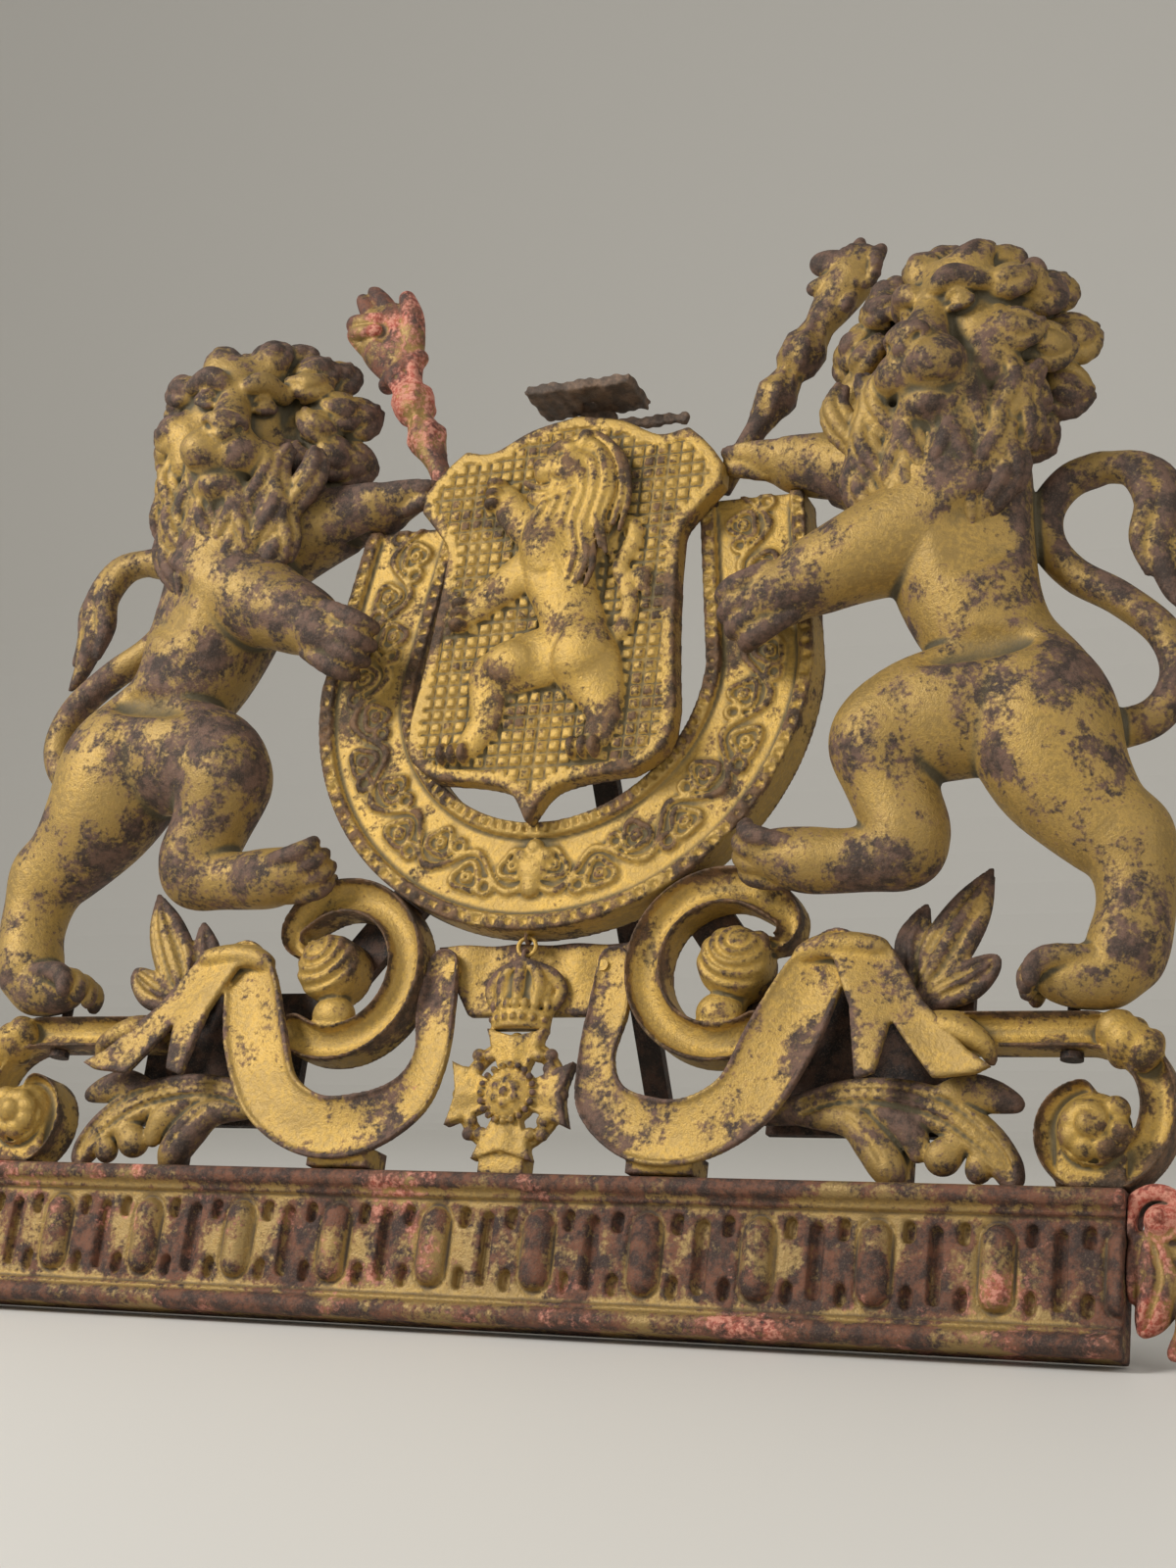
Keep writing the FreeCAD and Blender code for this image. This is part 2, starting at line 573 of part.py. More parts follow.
def ribbon():
    """One side's ribbon: a front band hanging in a deep curve, and a swallow tail behind its upper fold."""
    wires = []
    for inner_x, inner_z, outer_x, outer_z, front in ribbon_shares:
        inner = V(ribbon_x + inner_x * ribbon_height, front * ribbon_height,
                  rail_top + inner_z * ribbon_height)
        outer = V(ribbon_x + outer_x * ribbon_height, front * ribbon_height,
                  rail_top + outer_z * ribbon_height)
        through = ACROSS * ribbon_thickness
        wires.append(Part.makePolygon([inner, outer, outer + through, inner + through, inner]))
    band = Part.makeLoft(wires, True, True)
    edge = [V(ribbon_x + x * ribbon_height, 0, rail_top + z * ribbon_height) for x, z in tail_edge_shares]
    tail = Part.Face(Part.makePolygon(edge + edge[:1])).extrude(ACROSS * -tail_depth)
    tail.translate(ACROSS * -(scroll_depth + clearance))
    foot_at, foot_up = ribbon_foot_shares
    foot_x = ribbon_x + foot_at * ribbon_height
    foot_front = ribbon_shares[4][4] * ribbon_height + ribbon_thickness / 2
    foot = block(foot_x - ribbon_width / 2, foot_x + ribbon_width / 2, foot_front,
                 -clearance, rail_top, rail_top + foot_up * ribbon_height)
    return fused([band, tail, foot])


def ribbon_centre():
    """The ribbon's middle fold: a tapering piece between the collar, the inner scrolls and the badge."""
    top = collar_z - collar_outer
    low = top - centre_fold_height
    edge = [V(-centre_fold_top, 0, top), V(-centre_fold_foot, 0, low), V(centre_fold_foot, 0, low),
            V(centre_fold_top, 0, top)]
    fold = Part.Face(Part.makePolygon(edge + edge[:1])).extrude(ACROSS * -centre_fold_depth)
    above = Part.makeCylinder(collar_outer + clearance, centre_fold_depth * 2,
                              V(0, -centre_fold_depth * 3 / 2, collar_z), ACROSS)
    fold = fold.cut(above)
    for side in (-1, 1):
        fold = fold.cut(Part.makeCylinder(c_scroll_outer + clearance, centre_fold_depth * 2,
                                          V(side * c_scroll_x, -centre_fold_depth * 3 / 2,
                                            c_scroll_z), ACROSS))
    return main_solid(fold)


def badge():
    """The badge: a flared cross with a round boss and wreath, a small crown and an eye above it."""
    back = -centre_fold_depth - clearance
    arms = []
    for k in range(4):
        half = [V(x * badge_radius, back, z * badge_radius) for x, z in arm_shares]
        edge = [half[0], half[1], half[2], V(-half[1].x, back, half[1].z), V(-half[0].x, back, half[0].z)]
        arm = Part.Face(Part.makePolygon(edge + edge[:1])).extrude(ACROSS * -badge_depth)
        arms.append(arm.rotated(V(0, 0, 0), ACROSS, k * 90))
    hub = dome(0, back, 0, disc_radius, disc_rise, badge_depth)
    wreath = Part.makeTorus(wreath_radius, wreath_wire, V(0, back - badge_depth + wreath_wire / 2, 0),
                            ACROSS)
    drum = Part.makeCylinder(wreath_radius, badge_depth - wreath_wire, V(0, back, 0), -ACROSS)
    cross = fused(arms + [hub, wreath, drum])
    cross.translate(V(0, 0, badge_z))
    right = [V(x * crown_width, back, crown_foot_z + z * crown_height) for x, z in crown_shares]
    left = [V(-p.x, p.y, p.z) for p in reversed(right)]
    crown = Part.Face(Part.makePolygon(right + left + right[:1])).extrude(ACROSS * -crown_depth)
    for x, z, r in crown_hollow_shares:
        for side in (-1, 1):
            centre = V(side * x * crown_width, back - crown_depth - overrun,
                       crown_foot_z + z * crown_height)
            crown = crown.cut(Part.makeCylinder(r * crown_width, overrun + crown_depth / 2, centre, ACROSS))
    eye = Part.makeTorus(eye_radius, eye_wire, V(0, eye_y, ring_z - ring_radius), V(1, 0, 0))
    foot = block(-disc_radius, disc_radius, back - badge_depth, back, rail_top, badge_z)
    heel = block(-disc_radius, disc_radius, back, -clearance, rail_top, rail_top + rail_wall * 2)
    return fused([cross, crown, eye, foot, heel])


def jump_ring():
    """The wire ring that links the badge's eye to the collar's."""
    return Part.makeTorus(ring_radius, ring_wire, V(0, eye_y, ring_z), ACROSS)


def collar_section():
    """The collar's section across its radius: a flat band with a raised rim at each edge."""
    inner, outer = collar_outer - collar_band, collar_outer
    rim_y = -collar_depth - collar_rim_rise
    edge = [(inner, 0), (outer, 0), (outer, rim_y), (outer - collar_rim, rim_y),
            (outer - collar_rim, -collar_depth), (inner + collar_rim, -collar_depth),
            (inner + collar_rim, rim_y), (inner, rim_y)]
    points = [V(x, y, 0) for x, y in edge]
    return Part.makePolygon(points + points[:1])


def collar_legs(section):
    """The collar's two upright ends, leaning in towards the shield."""
    top = section.translated(V(-collar_leg * math.tan(math.radians(collar_leg_in_deg)), 0, collar_leg))
    leg = Part.makeLoft([section, top], True, True)
    leg.translate(V(0, 0, collar_z))
    return [leg, mirrored(leg)]


def collar():
    """The collar: a flat rimmed band in a U, open at the top, with the ring's upper eye below."""
    section = collar_section()
    lower = Part.Face(section).revolve(V(0, 0, 0), ACROSS, 180)
    lower.translate(V(0, 0, collar_z))
    eye = Part.makeTorus(eye_radius, eye_wire, V(0, eye_y, ring_z + ring_radius), V(1, 0, 0))
    return fused([lower] + collar_legs(section) + [eye])


def shield():
    """The shield: an eared outline with a bevelled front and a low relief lion."""
    def half(shares, side):
        return [V(side * x * shield_half, back_y, shield_foot_z + z * shield_height) for x, z in shares]

    right = [half(part, 1) for part in (shield_top_shares, shield_side_edge_shares, shield_foot_shares)]
    left = [half(part, -1)[::-1]
            for part in (shield_foot_shares, shield_side_edge_shares, shield_top_shares)]
    edge = Part.Wire([curve(points, False) for points in right + left])
    low = shield_depth - shield_bevel
    slab = Part.Face(edge).extrude(ACROSS * -low)
    middle = V(0, back_y, shield_foot_z + shield_height / 2)
    small = edge.copy().scale(bevel_share, middle)
    bevel = Part.makeLoft([edge.translated(ACROSS * -low), small.translated(ACROSS * -shield_depth)],
                          True, True)
    front = back_y - shield_depth
    figure = []
    for stations in relief_shares:
        figure.append(limb([(x * shield_height, front, shield_foot_z + z * shield_height, r * shield_height)
                            for x, z, r in stations], relief_flat_share))
    return fused([slab, bevel] + figure)


def crown_seat():
    """The plate on which a crown once stood, with its hole, a tab down behind the shield and a side ear."""
    foot = shield_foot_z + shield_height + seat_gap
    middle = back_y - clearance
    plate = block(-seat_width / 2, seat_width / 2,
                  bar_back - seat_depth, bar_back + clearance + bar_thickness,
                  foot, foot + seat_thickness)
    hole = Part.makeCylinder(seat_hole / 2, seat_thickness + 2 * overrun, V(0, middle, foot - overrun))
    tab_y = bar_back + clearance
    tab = block(-bar_width / 2, bar_width / 2, tab_y, tab_y + bar_thickness, foot - seat_tab, foot)
    ear = block(0, seat_ear, tab_y, tab_y + bar_thickness,
                foot - seat_gap, foot - seat_gap + seat_ear_height)
    return fused([plate.cut(hole), tab, ear])


def sceptre_way():
    """The direction in which the right sceptre points."""
    tilt = math.radians(sceptre_tilt_deg)
    return V(math.sin(tilt), 0, math.cos(tilt))


def sceptre(head_length, head_parts, flat):
    """A turned sceptre with a small cast head, tilted outwards."""
    points = [V(0, 0, -sceptre_tail), V(sceptre_radius, 0, -sceptre_tail)]
    points += [V(r * sceptre_radius, 0, along * sceptre_length) for along, r in sceptre_shares]
    points += [V(0, 0, sceptre_length)]
    rod = Part.Face(Part.makePolygon(points + points[:1])).revolve(V(0, 0, 0), V(0, 0, 1), 360)
    parts = [rod]
    for stations in head_parts:
        parts.append(limb([(x * head_length, 0, sceptre_length + z * head_length, r * head_length)
                           for x, z, r in stations], flat))
    whole = fused(parts)
    whole.rotate(V(0, 0, 0), ACROSS, sceptre_tilt_deg)
    whole.translate(V(sceptre_x, sceptre_y, sceptre_z))
    return whole


def lion():
    """The right lion: body, legs, mane, muzzle and tail, trimmed to sit on what it touches."""
    def placed(shares):
        return [(lion_x + x * lion_span, y * lion_span, lion_foot_z + z * lion_span, r * lion_span)
                for x, y, z, r in shares]

    parts = [limb(placed(shares), lion_flat_share) for shares in lion_limb_shares]
    parts.append(limb(placed(mane_shares), mane_flat_share))
    whole = fused(parts)
    deep = collar_depth + collar_rim_rise + clearance
    far = rail_half * 2
    trims = [block(0, far, 0, far, 0, far), block(0, far, -far, far, 0, lion_foot_z)]
    trims.append(Part.makeCylinder(collar_outer + clearance, deep, V(0, -deep, collar_z), ACROSS))
    trims.append(block(0, collar_outer + clearance, -deep, 0, collar_z, collar_z + collar_leg + clearance))
    trims.append(Part.makeCylinder(c_scroll_outer + clearance, scroll_depth + clearance,
                                   V(c_scroll_x, -scroll_depth - clearance, c_scroll_z), ACROSS))
    grip = V(sceptre_x, sceptre_y, sceptre_z) - sceptre_way() * (sceptre_tail + clearance)
    trims.append(Part.makeCylinder(sceptre_radius + clearance, sceptre_tail + sceptre_length, grip,
                                   sceptre_way()))
    for trim in trims:
        whole = whole.cut(trim)
    return main_solid(whole)


def back_plate():
    """The flat bar up the shield's back."""
    return block(-bar_width / 2, bar_width / 2, back_y + clearance, bar_back, back_plate_foot,
                 shield_foot_z + shield_height)


def junction_plate():
    """The plate behind the scrolls, with an arm up to the collar's back."""
    plate = block(junction_x - junction_width / 2, junction_x + junction_width / 2,
                  clearance, clearance + bar_thickness,
                  junction_z - junction_height / 2, junction_z + junction_height / 2)
    start = V(junction_x - junction_width / 3, clearance, junction_z)
    reach = collar_mid
    turn = math.radians(c_scroll_side_deg)
    end = V(reach * math.sin(turn), clearance, collar_z - reach * math.cos(turn))
    along = (end - start).normalize()
    side = ACROSS.cross(along) * (arm_width / 2)
    end = end + along * (arm_width / 2)
    edge = [start + side, end + side, end - side, start - side]
    arm = Part.Face(Part.makePolygon(edge + edge[:1])).extrude(ACROSS * bar_thickness)
    return fused([plate, arm])


def rear_stay():
    """The flat bar that props the plate: a tab on the back plate, a long slope and a foot on the table."""
    lean = math.radians(lean_deg)
    y0 = bar_back + clearance + stay_thickness / 2
    lift = stay_thickness / 2
    heel = V(0, stay_reach * math.cos(lean) - lift * math.sin(lean),
             stay_reach * math.sin(lean) + lift * math.cos(lean))
    toe = heel + V(0, math.cos(lean), math.sin(lean)) * stay_foot
    path = [V(0, y0, stay_top_z + stay_tab / 2), V(0, y0, stay_top_z), heel, toe]
    parts = []
    for start, end in zip(path, path[1:]):
        along = (end - start).normalize()
        side = V(1, 0, 0).cross(along) * (stay_thickness / 2)
        edge = [start + side, end + side, end - side, start - side]
        parts.append(Part.Face(Part.makePolygon(edge + edge[:1])).extrude(V(stay_width, 0, 0)))
    for bend in path[1:-1]:
        parts.append(Part.makeCylinder(stay_thickness / 2, stay_width, bend, V(1, 0, 0)))
    whole = fused(parts)
    whole.translate(V(-stay_width / 2, 0, 0))
    return whole


def both(place):
    """A place and its mirror on the other side."""
    return [place, V(-place.x, place.y, place.z)]


RIGHT = V(1, 0, 0)
UP = V(0, 0, 1)
screw_row_y = (frieze_y + rail_wall) / 2
plate_back = clearance + bar_thickness
short_bite = bar_thickness + clearance + screw_bite
wall_bite = rail_wall + clearance + screw_bite
tab_bite = 2 * bar_thickness + 2 * clearance + screw_bite
fold_bite = centre_fold_depth + ribbon_thickness

under_rail_top = rail_height - rail_wall
acanthus_foot_x = acanthus_x + acanthus_length * (acanthus_foot_shares[0] + acanthus_foot_shares[1]) / 2
ribbon_foot_x = ribbon_x + ribbon_height * ribbon_foot_shares[0]
foot_places = [V(0, screw_row_y, under_rail_top)]
for foot_x in (volute_x, acanthus_foot_x, ribbon_foot_x):
    foot_places += both(V(foot_x, screw_row_y, under_rail_top))
end_place = V(rail_half - rail_wall, screw_row_y, rail_height * rail_end_screw_share)

side_turn = math.radians(c_scroll_side_deg)
rivet_places = [V(collar_mid * math.sin(side_turn), plate_back,
                  collar_z - collar_mid * math.cos(side_turn)),
                V(c_scroll_x - c_scroll_radius * math.sin(side_turn), plate_back,
                  c_scroll_z + c_scroll_radius * math.cos(side_turn))]
for across, up in rivet_shares:
    rivet_places.append(V(junction_x + across * junction_width, plate_back,
                          junction_z + up * junction_height))

paw_place = V(lion_x + lower_foreleg_shares[-1][0] * lion_span, 0,
              lion_foot_z + lower_foreleg_shares[-1][2] * lion_span)
band_foot = outer_scroll_z + outer_scroll_radius - outer_scroll_band / 2
stand_place = V(stand_x, -scroll_depth / 2, band_foot)
stand_bite = outer_scroll_band + clearance + screw_bite
ear_place = V(ear_screw_shares[0] * shield_half, 0, shield_foot_z + ear_screw_shares[1] * shield_height)
bolt_places = [V(0, bar_back, shield_foot_z + share * shield_height) for share in shield_bolt_shares]
tab_y = bar_back + clearance + bar_thickness
seat_foot = shield_foot_z + shield_height + seat_gap
tab_places = [V(0, tab_y, stay_top_z + stay_tab * stay_bolt_share),
              V(0, tab_y, seat_foot - seat_tab * (1 - stay_bolt_share))]
fold_place = V(centre_fold_top * fold_rivet_shares[0], 0,
               collar_z - collar_outer - centre_fold_height * fold_rivet_shares[1])

rail = drilled(base_rail(), foot_places, -UP, wall_bite)
rail = drilled(rail, [end_place], -RIGHT, wall_bite)
rail = drilled(rail, [both(end_place)[1]], RIGHT, wall_bite)
pair = {
    "rail_end": drilled(rail_end(), [end_place], -RIGHT, wall_bite),
    "c_scroll": drilled(c_scroll(), rivet_places, ACROSS, short_bite),
    "outer_scroll": drilled(drilled(drilled(outer_scroll(), rivet_places, ACROSS, short_bite),
                                    foot_places, -UP, wall_bite),
                            [stand_place], -UP, stand_bite),
    "acanthus": drilled(drilled(acanthus(), rivet_places, ACROSS, short_bite), foot_places, -UP, wall_bite),
    "leaf_spray": drilled(leaf_spray(), rivet_places, ACROSS, short_bite),
    "ribbon": drilled(drilled(ribbon(), foot_places, -UP, wall_bite), [fold_place], ACROSS, fold_bite),
    "lion": drilled(drilled(lion(), [paw_place], ACROSS, paw_bite), [stand_place], -UP, stand_bite),
    "junction_plate": drilled(junction_plate(), rivet_places, ACROSS, short_bite),
}
ring_collar = collar()
for places, bite in ((both(ear_place), ear_bite), (both(paw_place), paw_bite)):
    ring_collar = drilled(ring_collar, places, ACROSS, bite)
for place in rivet_places:
    ring_collar = drilled(ring_collar, both(place), ACROSS, short_bite)
arms = drilled(drilled(shield(), both(ear_place), ACROSS, ear_bite), bolt_places, ACROSS, short_bite)

nodes = {
    "base_rail": rail,
    "ribbon_centre": drilled(ribbon_centre(), both(fold_place), ACROSS, fold_bite),
    "badge": drilled(badge(), foot_places, -UP, wall_bite),
    "jump_ring": jump_ring(),
    "collar": ring_collar,
    "shield": drilled(arms, tab_places, ACROSS, tab_bite),
    "crown_seat": drilled(crown_seat(), tab_places, ACROSS, tab_bite),
    "back_plate": drilled(drilled(back_plate(), bolt_places, ACROSS, short_bite), tab_places, ACROSS,
                          tab_bite),
    "rear_stay": drilled(rear_stay(), tab_places, ACROSS, tab_bite),
    "sceptre_left": mirrored(sceptre(hand_length, [palm_shares] + finger_shares, hand_flat_share)),
    "sceptre_right": sceptre(finial_length, finial_shares, hand_flat_share),
    "foot_screws": Part.makeCompound([screw(place, -UP, wall_bite) for place in foot_places]),
    "rail_end_screws": Part.makeCompound([screw(end_place, -RIGHT, wall_bite),
                                          screw(both(end_place)[1], RIGHT, wall_bite)]),
    "junction_rivets": Part.makeCompound([screw(spot, ACROSS, short_bite) for place in rivet_places
                                          for spot in both(place)]),
    "paw_screws": Part.makeCompound([screw(spot, ACROSS, paw_bite) for spot in both(paw_place)]),
    "standing_screws": Part.makeCompound([screw(spot, -UP, stand_bite) for spot in both(stand_place)]),
    "ear_screws": Part.makeCompound([screw(spot, ACROSS, ear_bite) for spot in both(ear_place)]),
    "shield_bolts": Part.makeCompound([screw(place, ACROSS, short_bite) for place in bolt_places]),
    "tab_bolts": Part.makeCompound([screw(place, ACROSS, tab_bite) for place in tab_places]),
    "fold_rivets": Part.makeCompound([screw(spot, ACROSS, fold_bite) for spot in both(fold_place)]),
}
for name, shape in pair.items():
    nodes[name + "_right"] = shape
    nodes[name + "_left"] = mirrored(shape)

# Tip the whole plate back on its heel and centre it over its own footprint
for shape in nodes.values():
    shape.rotate(V(0, 0, 0), V(1, 0, 0), -lean_deg)
box = FreeCAD.BoundBox()
for shape in nodes.values():
    box.add(shape.optimalBoundingBox(False))
os.makedirs("parts", exist_ok=True)
for name, shape in nodes.items():
    shape.translate(V(0, -(box.YMin + box.YMax) / 2, 0))
    shape.exportStep("parts/" + name + ".step")
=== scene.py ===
"""Looks of the cast iron coat of arms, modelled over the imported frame.

Castings are modelled as clay: a signed distance field on a grid, in millimetres of the upright
plate (X along the rail, Y to the back with 0 on the castings' flat backs, Z up from the rail's
foot). The field's zero surface becomes the mesh, tipped back by the plate's lean and set on the
frame's rail heel.
"""
import math
import bpy
import numpy as np
import openvdb
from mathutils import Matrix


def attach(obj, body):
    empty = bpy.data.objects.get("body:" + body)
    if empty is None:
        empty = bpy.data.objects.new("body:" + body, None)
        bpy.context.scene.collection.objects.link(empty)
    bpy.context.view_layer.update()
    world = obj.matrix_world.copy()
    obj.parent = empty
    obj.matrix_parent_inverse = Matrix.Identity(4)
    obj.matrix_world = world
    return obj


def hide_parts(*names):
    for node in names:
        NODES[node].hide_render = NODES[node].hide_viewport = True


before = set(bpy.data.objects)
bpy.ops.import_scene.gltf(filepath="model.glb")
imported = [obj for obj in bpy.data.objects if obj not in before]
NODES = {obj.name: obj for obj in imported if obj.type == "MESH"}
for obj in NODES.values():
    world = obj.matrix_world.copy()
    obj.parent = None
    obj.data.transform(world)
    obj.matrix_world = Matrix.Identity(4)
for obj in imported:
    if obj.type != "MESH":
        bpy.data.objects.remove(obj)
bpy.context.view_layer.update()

# Plate sizes in mm and degrees, as the solids have them
LEAN = math.radians(16.0)
BACKWARD = (0.0, math.cos(LEAN), -math.sin(LEAN))
SEAT_GAP = 0.3
RAIL_HALF, RAIL_HEIGHT = 314.05, 75.0
RAIL_MIDDLE, RAIL_TOP = RAIL_HEIGHT / 2, RAIL_HEIGHT + SEAT_GAP
PILL_PITCH, PILL_COUNT = 57.1, 10
COLLAR_Z, COLLAR_OUTER, COLLAR_INNER, COLLAR_DEPTH = 348.0, 146.0, 86.0, 20.0
RIM_RISE, COLLAR_LEG, LEG_IN = 4.0, 98.0, math.tan(math.radians(8.0))
SHIELD_FOOT, SHIELD_HEIGHT, SHIELD_HALF = 256.0, 243.0, 92.0
SHIELD_BACK, SHIELD_FRONT = -24.3, -37.3
SCROLL_X, SCROLL_Z, SCROLL_R = 109.3, 183.7, 41.0
SCROLL_BAND, SCROLL_DEPTH = 9.8, 22.0
VOLUTE_X, VOLUTE_Z = 297.0, 103.0
LION_X, LION_FOOT, LION_SPAN = 215.0, 158.3, 400.0
BADGE_Z, BADGE_BACK = 117.0, -8.5
EYE_Y, EYE_RADIUS, EYE_WIRE = -15.3, 3.0, 1.15
SCEPTRE = np.array([92.0, -14.0, 478.0])
SCEPTRE_TILT = math.radians(27.0)
# Scale on the size of every grid cell; empty clay lies this far from any form
COARSE = 1.0
EMPTY = 30.0

# The rail stands on its heel: the lowest of its points gives the heel's place
rail_points = np.empty(len(NODES["base_rail"].data.vertices) * 3)
NODES["base_rail"].data.vertices.foreach_get("co", rail_points)
rail_points = rail_points.reshape(-1, 3)
HEEL_Y = rail_points[rail_points[:, 2].argmin(), 1]


def to_frame(points):
    """Plate millimetres to frame metres: turn by the lean about the heel edge, then move to the
    heel's place."""
    x, y, z = np.asarray(points, float).T / 1000.0
    back = y * math.cos(LEAN) + z * math.sin(LEAN) + HEEL_Y
    return np.stack([x, back, z * math.cos(LEAN) - y * math.sin(LEAN)], axis=1)


def soft_min(a, b, blend):
    """The smaller of two distances, rounded where they differ by less than the blend length."""
    near = np.maximum(blend - np.abs(a - b), 0.0) / blend
    return np.minimum(a, b) - near * near * blend * 0.25


def soft_max(a, b, blend):
    """The larger of two distances, rounded in the same way."""
    return -soft_min(-a, -b, blend)


def ramp(value, start, end):
    """A smooth step from 0 at start to 1 at end."""
    t = np.clip((value - start) / (end - start), 0.0, 1.0)
    return t * t * (3.0 - 2.0 * t)


def smooth_path(points, count):
    """A Catmull-Rom curve through rows of numbers, sampled evenly by row: cubic in each span with
    chord tangents."""
    rows = np.asarray(points, float)
    padded = np.vstack([2 * rows[0] - rows[1], rows, 2 * rows[-1] - rows[-2]])
    at = np.linspace(0.0, len(rows) - 1.0, count)
    span = np.minimum(at.astype(int), len(rows) - 2)
    t = (at - span)[:, None]
    a, b, c, d = (padded[span + k] for k in range(4))
    return 0.5 * (2 * b + (c - a) * t + (2 * a - 5 * b + 4 * c - d) * t ** 2
                  + (3 * b - a - 3 * c + d) * t ** 3)


def box_blur(field, cells):
    """The mean over a cube of cells, taken axis by axis from running sums."""
    for axis in range(3):
        pads = [(0, 0)] * 3
        pads[axis] = (cells + 1, cells)
        sums = np.cumsum(np.pad(field, pads, mode="edge"), axis=axis, dtype=np.float64)
        upper = np.take(sums, range(2 * cells + 1, sums.shape[axis]), axis=axis)
        lower = np.take(sums, range(0, sums.shape[axis] - 2 * cells - 1), axis=axis)
        field = ((upper - lower) / (2 * cells + 1)).astype(np.float32)
    return field


def sampled(grid, points):
    """Grid values at places between cells: the eight nearest cells weighted by nearness."""
    base = np.clip(np.floor(points).astype(int), 0, np.array(grid.shape) - 2)
    t = np.clip(points - base, 0.0, 1.0)
    total = 0.0
    for i in (0, 1):
        for j in (0, 1):
            for k in (0, 1):
                weight = np.prod(np.where((i, j, k), t, 1.0 - t), axis=1)
                total = total + weight * grid[base[:, 0] + i, base[:, 1] + j, base[:, 2] + k]
    return total


def along_path(points, x, z):
    """For each point of an X, Z grid: distance to a path, and the share of the path's length passed
    there."""
    points = np.asarray(points, float)
    steps = np.diff(points, axis=0)
    lengths = np.hypot(steps[:, 0], steps[:, 1])
    passed = np.concatenate([[0.0], np.cumsum(lengths)])
    near = np.full(np.broadcast(x, z).shape, np.inf)
    share = np.zeros_like(near)
    for (px, pz), (dx, dz), length, start in zip(points, steps, lengths, passed):
        t = np.clip(((x - px) * dx + (z - pz) * dz) / length ** 2, 0.0, 1.0)
        gap = np.hypot(x - px - t * dx, z - pz - t * dz)
        nearer = gap < near
        near = np.where(nearer, gap, near)
        share = np.where(nearer, (start + t * length) / passed[-1], share)
    return near, share


def inside_of(points, x, z):
    """Signed distance to a closed outline: distance to its edge, negative where a ray crosses it an
    odd number of times."""
    loop = np.vstack([points, points[:1]])
    near = along_path(loop, x, z)[0]
    odd = np.zeros(near.shape, bool)
    for (ax, az), (bx, bz) in zip(loop[:-1], loop[1:]):
        if az != bz:
            odd ^= ((az > z) != (bz > z)) & (x < (bx - ax) * (z - az) / (bz - az) + ax)
    return np.where(odd, -near, near)


def arc(x, z, radius, start, end, count):
    """Points on a round arc from one angle to another; a pair of radii changes evenly along it."""
    turn = np.radians(np.linspace(start, end, count))
    reach = np.linspace(*np.broadcast_to(radius, 2), count)
    return np.column_stack([x + reach * np.cos(turn), z + reach * np.sin(turn)])


